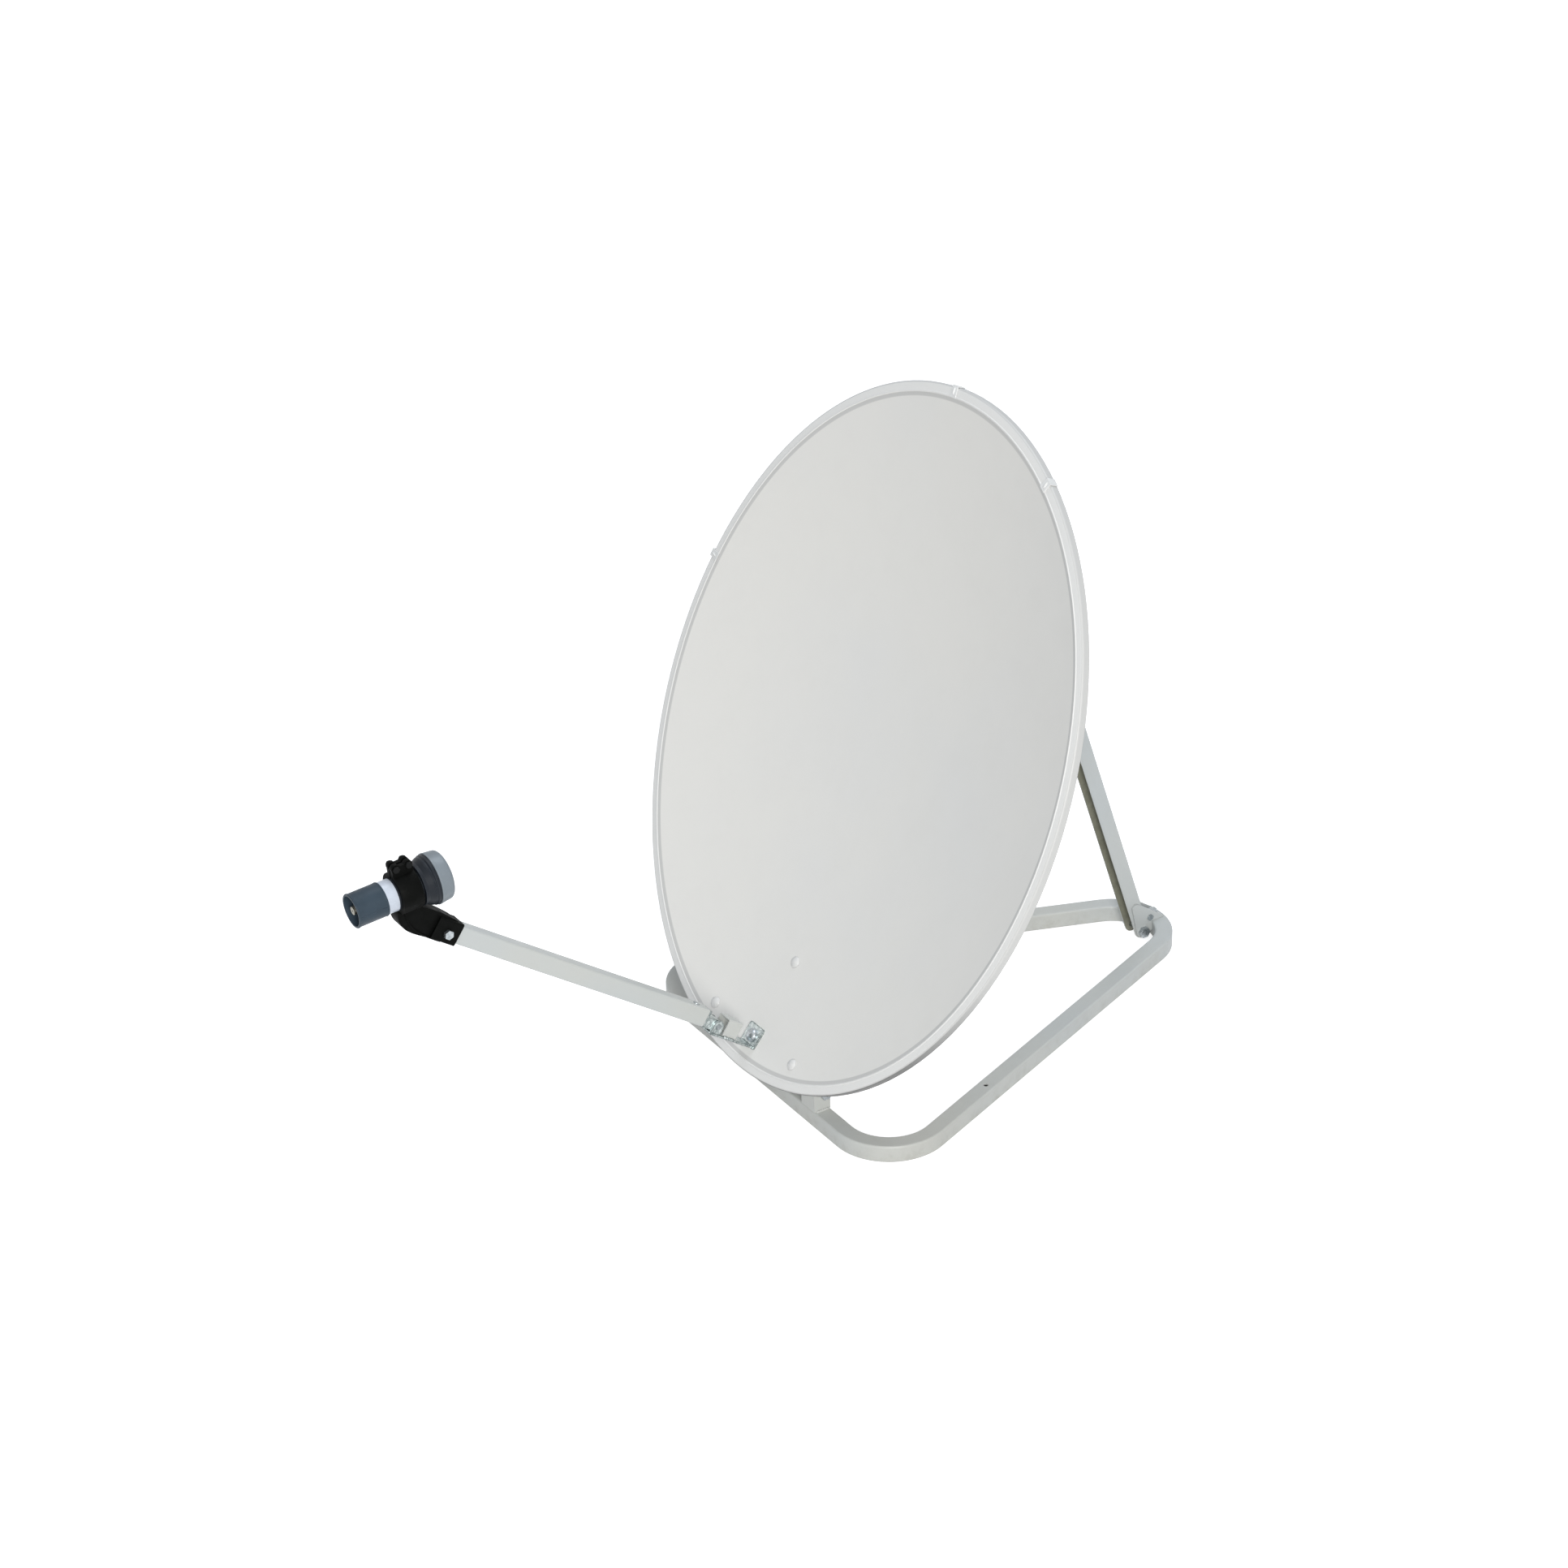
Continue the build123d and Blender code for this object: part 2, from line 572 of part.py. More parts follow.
with BuildPart() as strut_wing_nut:
    knob_seat = strut_face(CLAMP_ALONG, WEB_BACK + 0.3)
    knob_wings = Plane(origin=knob_seat.origin, x_dir=STRUT_SIDE.x_dir, z_dir=(-1, 0, 0))
    rod(knob_seat, KNOB_FLANGE_RADIUS, 0, KNOB_FLANGE)
    rod(knob_seat, KNOB_HUB_RADIUS, KNOB_FLANGE, KNOB_HUB)
    with BuildSketch(knob_wings.offset(-KNOB_WING / 2)):
        with Locations((0, KNOB_HUB / 2)):
            Circle(KNOB_HUB / 2 - 1)
        with Locations((-KNOB_TIP_SIDE, KNOB_TIP_HEIGHT), (KNOB_TIP_SIDE, KNOB_TIP_HEIGHT)):
            Circle(KNOB_TIP_RADIUS)
        make_hull()
        with Locations((0, 2 * KNOB_HUB)):
            Circle(KNOB_HUB_RADIUS + 2, mode=Mode.SUBTRACT)
    extrude(amount=KNOB_WING)
    rod(knob_seat, M6[0] + FIT, 0, KNOB_TIP_HEIGHT, mode=Mode.SUBTRACT)
finish(strut_wing_nut, "strut_wing_nut")

CLEVIS_INNER_X = BAR_WIDTH / 2 + FOOT_SIDE_GAP
CLEVIS_OUTER_X = CLEVIS_INNER_X + BRACKET_SHEET
HOOP_BACK = HOOP_DEPTH + HALF
with BuildPart() as strut_top_clevis:
    for start in (-CLEVIS_OUTER_X, CLEVIS_INNER_X):
        with BuildSketch(dish_side(start)):
            with Locations((STRUT_TOP_DEPTH, STRUT_TOP_V)):
                Circle(9)
            with Locations((HOOP_BACK + 2, HOOP_TOP + 8), (HOOP_BACK + 2, HOOP_TOP - 8)):
                Circle(2)
            make_hull()
        extrude(amount=BRACKET_SHEET)
    with BuildSketch(dish_side(-CLEVIS_OUTER_X)):
        with Locations((HOOP_BACK, HOOP_TOP)):
            Rectangle(BRACKET_SHEET, 20, align=(Align.MIN, Align.CENTER))
    extrude(amount=2 * CLEVIS_OUTER_X)
    rod(
        cross_plane(0, STRUT_TOP_Y, STRUT_TOP_Z),
        M8[0] + FIT, -2 * BAR_WIDTH, 2 * BAR_WIDTH, mode=Mode.SUBTRACT,
    )
finish(strut_top_clevis, "strut_top_clevis")

with BuildPart() as strut_top_bolt:
    hex_bolt(
        cross_plane(CLEVIS_OUTER_X + SEAT, STRUT_TOP_Y, STRUT_TOP_Z, -1), M8,
        2 * CLEVIS_OUTER_X + M8[2] + 2,
    )
finish(strut_top_bolt, "strut_top_bolt")

with BuildPart() as strut_top_nut:
    hex_nut(cross_plane(-CLEVIS_OUTER_X - SEAT, STRUT_TOP_Y, STRUT_TOP_Z, -1), M8, 0)
finish(strut_top_nut, "strut_top_nut")

# ---------------------------------------------------------------- reflector and its frame
BOWL_FACE_PLANES = [
    bowl_plane(FACE_BOLT_X, FACE_BOLT_V),
    bowl_plane(-FACE_BOLT_X, FACE_BOLT_V),
    bowl_plane(0, STRAP_BOLT_V),
]
ARM_BOLT_PLANE = bowl_plane(0, ARM_BOLT_V)

with BuildPart() as bowl_round:
    with BuildSketch(Plane.XZ):
        with BuildLine():
            Bezier((0, -DISH_DEPTH), (BOWL_X / 2, -DISH_DEPTH), (BOWL_X, 0))
            Line((BOWL_X, 0), (DISH_WIDTH / 2 - DISH_EDGE_ROUND, 0))
            RadiusArc(
                (DISH_WIDTH / 2 - DISH_EDGE_ROUND, 0), (DISH_WIDTH / 2, -DISH_EDGE_ROUND), DISH_EDGE_ROUND
            )
            Line((DISH_WIDTH / 2, -DISH_EDGE_ROUND), (DISH_WIDTH / 2, -DISH_WALL))
            Line((DISH_WIDTH / 2, -DISH_WALL), (DISH_WIDTH / 2 - DISH_SHEET, -DISH_WALL))
            Line(
                (DISH_WIDTH / 2 - DISH_SHEET, -DISH_WALL), (DISH_WIDTH / 2 - DISH_SHEET, -DISH_EDGE_ROUND)
            )
            RadiusArc(
                (DISH_WIDTH / 2 - DISH_SHEET, -DISH_EDGE_ROUND),
                (DISH_WIDTH / 2 - DISH_EDGE_ROUND, -DISH_SHEET),
                -(DISH_EDGE_ROUND - DISH_SHEET),
            )
            Line((DISH_WIDTH / 2 - DISH_EDGE_ROUND, -DISH_SHEET), (BOWL_X, -DISH_SHEET))
            Bezier(
                (BOWL_X, -DISH_SHEET),
                (BOWL_X / 2, -DISH_DEPTH - DISH_SHEET),
                (0, -DISH_DEPTH - DISH_SHEET),
            )
            Line((0, -DISH_DEPTH - DISH_SHEET), (0, -DISH_DEPTH))
        make_face()
    revolve(axis=Axis.Z)
bowl_oval = scale(bowl_round.part, by=(1, DISH_HEIGHT / DISH_WIDTH, 1), mode=Mode.PRIVATE)

with BuildPart() as reflector:
    add(DISH.location * bowl_oval)
    for face_plane in BOWL_FACE_PLANES + [ARM_BOLT_PLANE]:
        rod(face_plane, M6[0] + HOLE_GAP, -DISH_SHEET - 2, 2, mode=Mode.SUBTRACT)
finish(reflector, "reflector")

HOOP_CORNER_Y, HOOP_CORNER_Z = behind(HOOP_DEPTH, HOOP_TOP)
LEG_V_AT_AXIS = (TILT_AXIS_Z - DISH_CENTRE_Z + HOOP_DEPTH * LEAN_SIN) / LEAN_COS
LEG_FOOT_Y = behind(HOOP_DEPTH, LEG_V_AT_AXIS)[0]
with BuildPart() as back_frame:
    with BuildLine():
        FilletPolyline(
            (POST_X, TILT_AXIS_Y, TILT_AXIS_Z),
            (POST_X, LEG_FOOT_Y, TILT_AXIS_Z),
            (POST_X, HOOP_CORNER_Y, HOOP_CORNER_Z),
            (-POST_X, HOOP_CORNER_Y, HOOP_CORNER_Z),
            (-POST_X, LEG_FOOT_Y, TILT_AXIS_Z),
            (-POST_X, TILT_AXIS_Y, TILT_AXIS_Z),
            radius=[HOOP_FOOT_BEND, HOOP_TOP_BEND, HOOP_TOP_BEND, HOOP_FOOT_BEND],
        )
    with BuildSketch(Plane(origin=(POST_X, TILT_AXIS_Y, TILT_AXIS_Z), x_dir=(1, 0, 0), z_dir=(0, 1, 0))):
        tube_profile()
    sweep()
    for side in (-1, 1):
        eye = cross_plane(side * POST_X, TILT_AXIS_Y, TILT_AXIS_Z)
        rod(eye, HALF, -HALF, HALF)
    for side in (-1, 1):
        eye = cross_plane(side * POST_X, TILT_AXIS_Y, TILT_AXIS_Z)
        rod(eye, M8[0] + FIT, -TUBE, TUBE, mode=Mode.SUBTRACT)
        for ear_v in (LOWER_EAR_V, UPPER_BRACKET_V):
            ear = cross_plane(side * POST_X, *behind(HOOP_DEPTH, ear_v))
            rod(ear, M6[0] + HOLE_GAP, -TUBE, TUBE, mode=Mode.SUBTRACT)
finish(back_frame, "back_frame")


def bowl_strip(v, tall, half_width):
    """Pressed strip across the back of the bowl, bent to the bowl's curve."""
    slope = math.atan(2 * DISH_DEPTH * v / BOWL_V**2)
    back = bowl_depth(0, v) + DISH_SHEET + SEAT
    up = Vector(0, LEAN_SIN * math.cos(slope), LEAN_COS * math.cos(slope))
    up += Vector(0, -LEAN_COS * math.sin(slope), LEAN_SIN * math.sin(slope))
    origin = Vector(0, *behind(back, v))
    rise = DISH_DEPTH * (half_width / BOWL_X) ** 2 * math.cos(slope)
    with BuildSketch(Plane(origin=origin - up * (tall / 2), x_dir=(1, 0, 0), z_dir=up)) as bent:
        with BuildLine():
            ThreePointArc((-half_width, -rise), (0, 0), (half_width, -rise))
            Line((half_width, -rise), (half_width, BRACKET_SHEET - rise))
            ThreePointArc(
                (half_width, BRACKET_SHEET - rise), (0, BRACKET_SHEET), (-half_width, BRACKET_SHEET - rise)
            )
            Line((-half_width, BRACKET_SHEET - rise), (-half_width, -rise))
        make_face()
    extrude(bent.sketch, amount=tall)


def bracket_ears(bolt_v, seat_low_v, seat_high_v):
    """Ears from the strip's ends back to the inner faces of the hoop's legs."""
    ear_x = LEG_INNER_X - BRACKET_SHEET / 2
    for start in (-LEG_INNER_X, LEG_INNER_X - BRACKET_SHEET):
        with BuildSketch(dish_side(start)) as ear:
            with Locations((HOOP_DEPTH, bolt_v)):
                Circle(EAR_ROUND)
            for seat_v in (seat_low_v, seat_high_v):
                seat_depth = bowl_depth(ear_x, seat_v) + DISH_SHEET + 3.2
                with Locations((seat_depth, seat_v)):
                    Circle(2.5)
            make_hull()
        extrude(ear.sketch, amount=BRACKET_SHEET)
    rod(
        cross_plane(0, *behind(HOOP_DEPTH, bolt_v)),
        M6[0] + HOLE_GAP, -POST_X, POST_X, mode=Mode.SUBTRACT,
    )


with BuildPart() as lower_bracket:
    bowl_strip(LOWER_BRACKET_V, LOWER_BRACKET_TALL, LEG_INNER_X)
    for side in (-1, 1):
        with BuildSketch(DISH):
            with Locations((side * POST_X, LOWER_BRACKET_V - LOWER_BRACKET_TALL / 2)):
                Circle(LOWER_BRACKET_CUT * 1.7)
        extrude(amount=-2 * HALF, mode=Mode.SUBTRACT)
    bracket_ears(LOWER_EAR_V, LOWER_BRACKET_V + 1, LOWER_BRACKET_V + 20)
    with BuildSketch(dish_side(-STRAP_WIDTH / 2)):
        strap_low = LOWER_BRACKET_V + 16
        strap_middle = (strap_low + STRAP_TOP_V) / 2
        strap_points = [
            (bowl_depth(0, v) + DISH_SHEET + 0.15, v) for v in (strap_low, strap_middle, STRAP_TOP_V)
        ]
        with BuildLine():
            ThreePointArc(*strap_points)
            Line(strap_points[2], (strap_points[2][0] + BRACKET_SHEET, STRAP_TOP_V))
            ThreePointArc(*[(depth + BRACKET_SHEET, v) for depth, v in reversed(strap_points)])
            Line((strap_points[0][0] + BRACKET_SHEET, strap_low), strap_points[0])
        make_face()
    extrude(amount=STRAP_WIDTH)
    for face_plane in BOWL_FACE_PLANES + [ARM_BOLT_PLANE]:
        rod(face_plane, M6[0] + HOLE_GAP, -12, 0, mode=Mode.SUBTRACT)
finish(lower_bracket, "lower_bracket")

with BuildPart() as upper_bracket:
    bowl_strip(UPPER_BRACKET_V, UPPER_BRACKET_TALL, LEG_INNER_X)
    bracket_ears(UPPER_BRACKET_V, UPPER_BRACKET_V - 13, UPPER_BRACKET_V + 13)
finish(upper_bracket, "upper_bracket")

with BuildPart() as bracket_bolts:
    for side in (-1, 1):
        for ear_v in (LOWER_EAR_V, UPPER_BRACKET_V):
            leg_outer = cross_plane(
                side * (POST_X + HALF + SEAT), *behind(HOOP_DEPTH, ear_v), -side
            )
            hex_bolt(leg_outer, M6, TUBE + BRACKET_SHEET + M6[2] + 2)
finish(bracket_bolts, "bracket_bolts")

with BuildPart() as bracket_nuts:
    for side in (-1, 1):
        for ear_v in (LOWER_EAR_V, UPPER_BRACKET_V):
            ear_inner = cross_plane(
                side * (LEG_INNER_X - BRACKET_SHEET - SEAT), *behind(HOOP_DEPTH, ear_v), -side
            )
            hex_nut(ear_inner, M6, 0)
finish(bracket_nuts, "bracket_nuts")

FACE_STACK = DISH_SHEET + BRACKET_SHEET + 0.3
with BuildPart() as face_bolts:
    for face_plane in BOWL_FACE_PLANES:
        carriage_bolt(face_plane.offset(SEAT), M6, FACE_STACK + M6[2] + 2)
finish(face_bolts, "face_bolts")

with BuildPart() as face_nuts:
    for face_plane in BOWL_FACE_PLANES:
        hex_nut(face_plane, M6, -FACE_STACK - M6[2])
finish(face_nuts, "face_nuts")

with BuildPart() as rim_clips:
    for angle in CLIP_ANGLES:
        turn = math.radians(angle)
        rim_point = Vector(DISH_WIDTH / 2 * math.cos(turn), DISH_HEIGHT / 2 * math.sin(turn))
        outward = Vector(DISH_HEIGHT * math.cos(turn), DISH_WIDTH * math.sin(turn)).normalized()
        origin = DISH.from_local_coords(rim_point)
        out_tip = DISH.from_local_coords(rim_point + outward)
        hook = Plane(origin=origin, x_dir=out_tip - origin, z_dir=DISH.z_dir)
        with BuildSketch(hook.offset(SEAT)):
            with Locations((-DISH_FLANGE / 2, 0)):
                Rectangle(DISH_FLANGE + 2 * CLIP_SHEET + 1, CLIP_WIDTH)
        extrude(amount=CLIP_SHEET)
        with BuildSketch(hook.offset(SEAT)):
            with Locations((CLIP_SHEET / 2 + 0.15, 0)):
                Rectangle(CLIP_SHEET, CLIP_WIDTH)
        extrude(amount=-DISH_WALL)
finish(rim_clips, "rim_clips")

# ---------------------------------------------------------------- feed arm and folding hinge
LEAF_TOP = -HALF - STUB_DROP
LEAF_BOTTOM = LEAF_TOP - LEAF_SHEET
PIN_HOLE = M6[0] + FIT
EAR_MID_X = LEAF_EAR_GAP / 2
RIVET_PLANE = Plane(
    origin=ARM_SIDE.from_local_coords(Vector(ARM_START + PLUG_LENGTH / 2, 0, 0)),
    x_dir=(1, 0, 0),
    z_dir=ARM_SIDE.y_dir,
)

LEAF_FOOT = arm_meets_bowl(LEAF_BOTTOM) + FACE_SEAT + LEAF_SHEET / 2
with BuildPart() as arm_hinge_bracket:
    with BuildSketch(ARM_BOLT_PLANE.offset(FACE_SEAT)):
        RectangleRounded(LEAF_FOOT_WIDTH, LEAF_FOOT_TALL, 2)
    extrude(amount=LEAF_SHEET)
    with BuildSketch(ARM_SIDE.offset(-HALF)):
        with Locations((LEAF_FOOT, LEAF_BOTTOM)):
            Rectangle(
                FOLD_PIN_ALONG + LEAF_EAR_ROUND - LEAF_FOOT, LEAF_SHEET, align=(Align.MIN, Align.MIN)
            )
    extrude(amount=TUBE)
    for start in (-EAR_MID_X - LEAF_EAR_SHEET, EAR_MID_X):
        with BuildSketch(ARM_SIDE.offset(start)):
            with Locations((FOLD_PIN_ALONG, FOLD_PIN_HEIGHT)):
                Circle(LEAF_EAR_ROUND)
            with Locations((FOLD_PIN_ALONG, LEAF_BOTTOM)):
                Rectangle(2 * LEAF_EAR_ROUND, LEAF_SHEET, align=(Align.CENTER, Align.MIN))
            make_hull()
        extrude(amount=LEAF_EAR_SHEET)
    rod(ARM_BOLT_PLANE, M6[0] + HOLE_GAP, -1, 2 * LEAF_SHEET, mode=Mode.SUBTRACT)
    rod(arm_cross(FOLD_PIN_ALONG, FOLD_PIN_HEIGHT, 0), PIN_HOLE, -HALF, HALF, mode=Mode.SUBTRACT)
finish(arm_hinge_bracket, "arm_hinge_bracket")

with BuildPart() as arm_base_washer:
    washer_seat = ARM_BOLT_PLANE.offset(FACE_SEAT + LEAF_SHEET + SEAT)
    rod(washer_seat, BASE_WASHER_RADIUS, 0, BASE_WASHER_SHEET)
    rod(washer_seat, M6[0] + HOLE_GAP, -1, 2 * BASE_WASHER_SHEET, mode=Mode.SUBTRACT)
finish(arm_base_washer, "arm_base_washer")

WASHER_FACE = FACE_SEAT + SEAT + LEAF_SHEET + BASE_WASHER_SHEET
with BuildPart() as arm_base_bolt:
    carriage_bolt(ARM_BOLT_PLANE.offset(WASHER_FACE + SEAT), M6, WASHER_FACE + FACE_STACK + M6[2] + 2)
finish(arm_base_bolt, "arm_base_bolt")

with BuildPart() as arm_base_nut:
    hex_nut(ARM_BOLT_PLANE, M6, -FACE_STACK - M6[2])
finish(arm_base_nut, "arm_base_nut")

with BuildPart() as arm_stub:
    with BuildSketch(arm_section(STUB_START, LEAF_TOP + SEAT + HALF)):
        tube_profile()
    extrude(amount=STUB_LENGTH)
finish(arm_stub, "arm_stub")

with BuildPart() as arm_hinge_pin:
    hex_bolt(
        arm_cross(FOLD_PIN_ALONG, FOLD_PIN_HEIGHT, -EAR_MID_X - LEAF_EAR_SHEET - SEAT), M6,
        2 * (EAR_MID_X + LEAF_EAR_SHEET + SEAT) + 1,
    )
finish(arm_hinge_pin, "arm_hinge_pin")

with BuildPart() as arm_hinge_tongue:
    with BuildSketch(ARM_SIDE.offset(-TONGUE_WIDTH / 2)):
        with Locations((FOLD_PIN_ALONG, FOLD_PIN_HEIGHT)):
            Circle(TONGUE_ROUND)
            Rectangle(ARM_START - FOLD_PIN_ALONG, 2 * TONGUE_ROUND, align=(Align.MIN, Align.CENTER))
    extrude(amount=TONGUE_WIDTH)
    plug_size = TUBE - 2 * TUBE_WALL - 2 * PLUG_GAP
    with BuildSketch(arm_section(ARM_START - 3)):
        Rectangle(TUBE - 1, TUBE - 1)
    extrude(amount=3)
    with BuildSketch(arm_section(ARM_START)):
        RectangleRounded(plug_size, plug_size, 1.5)
    extrude(amount=PLUG_LENGTH)
    rod(arm_cross(FOLD_PIN_ALONG, FOLD_PIN_HEIGHT, 0), PIN_HOLE, -HALF, HALF, mode=Mode.SUBTRACT)
    rod(RIVET_PLANE, M4[0] + HOLE_GAP, -TUBE, TUBE, mode=Mode.SUBTRACT)
finish(arm_hinge_tongue, "arm_hinge_tongue")

with BuildPart() as feed_arm:
    with BuildSketch(arm_section(ARM_START + SEAT)):
        tube_profile()
    extrude(amount=ARM_END - ARM_START)
    rod(RIVET_PLANE, M4[0] + HOLE_GAP, -TUBE, TUBE, mode=Mode.SUBTRACT)
    rod(
        arm_cross(HOLDER_BOLT_ALONG, HOLDER_BOLT_HEIGHT, 0),
        M6[0] + HOLE_GAP, -TUBE, TUBE, mode=Mode.SUBTRACT,
    )
finish(feed_arm, "feed_arm")

with BuildPart() as arm_rivet:
    rod(RIVET_PLANE, M4[0], -HALF - SEAT, HALF + SEAT)
    rod(RIVET_PLANE, 2 * M4[0], HALF + SEAT, HALF + 1.3)
    rod(RIVET_PLANE, 2 * M4[0], -HALF - 1.3, -HALF - SEAT)
finish(arm_rivet, "arm_rivet")

# ---------------------------------------------------------------- holder of the low-noise block
SOCKET_INNER = TUBE + 2 * SOCKET_GAP
SOCKET_OUTER = SOCKET_INNER + 2 * SOCKET_WALL
CLAMP_BORE = NECK_RADIUS + 0.08
CLAMP_OUTER = CLAMP_BORE + CLAMP_WALL
CLAMP_MIDDLE = (CLAMP_REAR + CLAMP_FRONT) / 2
CLAMP_SCREWS = (CLAMP_REAR + 4.5, CLAMP_FRONT - 5.5)
NECK_HALF_WIDTH = 10.0


def arm_local(along_axis, up):
    """Arm coordinates of a point given along and above the low-noise block's axis."""
    spot = ARM_SIDE.to_local_coords(LNB_SIDE.from_local_coords(Vector(along_axis, up, 0)))
    return spot.X, spot.Y


with BuildPart() as lnb_holder:
    with BuildSketch(ARM_SIDE.offset(-NECK_HALF_WIDTH)):
        socket_half = SOCKET_OUTER / 2
        ring_low_rear = arm_local(CLAMP_REAR, -CLAMP_BORE)
        ring_low_front = arm_local(CLAMP_FRONT, -CLAMP_BORE)
        with BuildLine():
            Line((SOCKET_START, -socket_half), (SOCKET_START + 18, -socket_half))
            Spline(
                (SOCKET_START + 18, -socket_half),
                (SOCKET_END + 18, -socket_half - 1.5),
                (ring_low_rear[0] - 6, ring_low_rear[1] - 12),
                ring_low_rear,
                tangents=((1, 0), (-0.4, 1)),
            )
            Line(ring_low_rear, ring_low_front)
            Spline(
                ring_low_front,
                (ring_low_front[0] - 14, socket_half + 3.5),
                (SOCKET_START + 20, socket_half + 2.5),
                (SOCKET_START + 4, socket_half - 1),
                tangents=((-0.6, -1), (-1, -0.5)),
            )
            Line((SOCKET_START + 4, socket_half - 1), (SOCKET_START, -socket_half))
        make_face()
    extrude(amount=2 * NECK_HALF_WIDTH)
    with BuildSketch(arm_section(SOCKET_START)):
        RectangleRounded(SOCKET_OUTER, SOCKET_OUTER, 2.5)
    extrude(amount=SOCKET_END - SOCKET_START)
    rod(LNB_FACE, CLAMP_OUTER, CLAMP_REAR, CLAMP_FRONT)
    with BuildSketch(LNB_SIDE.offset(-CLAMP_SLIT / 2 - CLAMP_EAR_SHEET)):
        for screw in CLAMP_SCREWS:
            with Locations((screw, CLAMP_EAR_HEIGHT)):
                Circle(CLAMP_EAR_ROUND)
            with Locations((screw, CLAMP_BORE + 1)):
                Rectangle(
                    2 * CLAMP_EAR_ROUND - 1, CLAMP_EAR_HEIGHT - CLAMP_BORE, align=(Align.CENTER, Align.MIN)
                )
        with Locations((CLAMP_MIDDLE, CLAMP_BORE + 1)):
            web_height = CLAMP_EAR_HEIGHT - CLAMP_BORE + 1
            Rectangle(CLAMP_SCREWS[1] - CLAMP_SCREWS[0], web_height, align=(Align.CENTER, Align.MIN))
    extrude(amount=CLAMP_SLIT + 2 * CLAMP_EAR_SHEET)
    with BuildSketch(LNB_SIDE.offset(-CLAMP_SLIT / 2)):
        with Locations((CLAMP_MIDDLE, 0)):
            Rectangle(3 * CLAMP_OUTER, 3 * CLAMP_OUTER, align=(Align.CENTER, Align.MIN))
    extrude(amount=CLAMP_SLIT, mode=Mode.SUBTRACT)
    rod(LNB_FACE, CLAMP_BORE, CLAMP_REAR - 30, CLAMP_FRONT + 30, mode=Mode.SUBTRACT)
    with BuildSketch(arm_section(SOCKET_START - 1)):
        Rectangle(SOCKET_INNER, SOCKET_INNER)
    extrude(amount=ARM_END + 2 - SOCKET_START + 1, mode=Mode.SUBTRACT)
    rod(
        arm_cross(HOLDER_BOLT_ALONG, HOLDER_BOLT_HEIGHT, 0),
        M6[0] + HOLE_GAP, -SOCKET_OUTER, SOCKET_OUTER, mode=Mode.SUBTRACT,
    )
    for screw in CLAMP_SCREWS:
        spot = LNB_SIDE.from_local_coords(Vector(screw, CLAMP_EAR_HEIGHT, 0))
        rod(
            cross_plane(0, spot.Y, spot.Z),
            M4[0] + HOLE_GAP, -CLAMP_OUTER, CLAMP_OUTER, mode=Mode.SUBTRACT,
        )
finish(lnb_holder, "lnb_holder")

CLAMP_EAR_X = CLAMP_SLIT / 2 + CLAMP_EAR_SHEET
with BuildPart() as holder_clamp_screws:
    for screw in CLAMP_SCREWS:
        spot = LNB_SIDE.from_local_coords(Vector(screw, CLAMP_EAR_HEIGHT, 0))
        ear_outer = cross_plane(CLAMP_EAR_X + SEAT, spot.Y, spot.Z, -1)
        hex_bolt(ear_outer, M4, 2 * CLAMP_EAR_X + M4[2] + 1.5)
finish(holder_clamp_screws, "holder_clamp_screws")

with BuildPart() as holder_clamp_nuts:
    for screw in CLAMP_SCREWS:
        spot = LNB_SIDE.from_local_coords(Vector(screw, CLAMP_EAR_HEIGHT, 0))
        hex_nut(cross_plane(-CLAMP_EAR_X - SEAT, spot.Y, spot.Z, -1), M4, 0)
finish(holder_clamp_nuts, "holder_clamp_nuts")

with BuildPart() as holder_bolt:
    hex_bolt(
        arm_cross(HOLDER_BOLT_ALONG, HOLDER_BOLT_HEIGHT, SOCKET_OUTER / 2 + SEAT, -1), M6,
        SOCKET_OUTER + M6[2] + 2,
    )
finish(holder_bolt, "holder_bolt")

with BuildPart() as holder_nut:
    hex_nut(arm_cross(HOLDER_BOLT_ALONG, HOLDER_BOLT_HEIGHT, -SOCKET_OUTER / 2 - SEAT, -1), M6, 0)
finish(holder_nut, "holder_nut")

# ---------------------------------------------------------------- low-noise block
with BuildPart() as lnb_body:
    with BuildSketch(LNB_SIDE):
        with BuildLine():
            Polyline(
                (BODY_REAR + SHROUD_DEPTH, 0),
                (CAP_REAR, 0),
                (CAP_REAR, LNB_CORE),
                (BODY_FRONT, LNB_CORE),
                (BODY_FRONT, BODY_RADIUS),
                (BODY_REAR, BODY_RADIUS),
                (BODY_REAR, BODY_RADIUS - SHROUD_WALL),
                (BODY_REAR + SHROUD_DEPTH, BODY_RADIUS - SHROUD_WALL),
                (BODY_REAR + SHROUD_DEPTH, 0),
            )
        make_face()
    revolve(axis=LNB_AXIS)
finish(lnb_body, "lnb_body")

CONNECTOR_SEAT = BODY_REAR + SHROUD_DEPTH - SEAT
CONNECTOR_THREAD = CONNECTOR_SEAT - CONNECTOR_HEX_LENGTH
CONNECTOR_END = BODY_REAR + CONNECTOR_PROUD
with BuildPart() as f_connector:
    hexagon(LNB_FACE, CONNECTOR_HEX, CONNECTOR_SEAT, CONNECTOR_THREAD)
    rod(LNB_FACE, CONNECTOR_RADIUS, CONNECTOR_THREAD, CONNECTOR_END)
    rod(LNB_FACE, CONNECTOR_BORE, CONNECTOR_END + 7, CONNECTOR_END - 1, mode=Mode.SUBTRACT)
finish(f_connector, "f_connector")

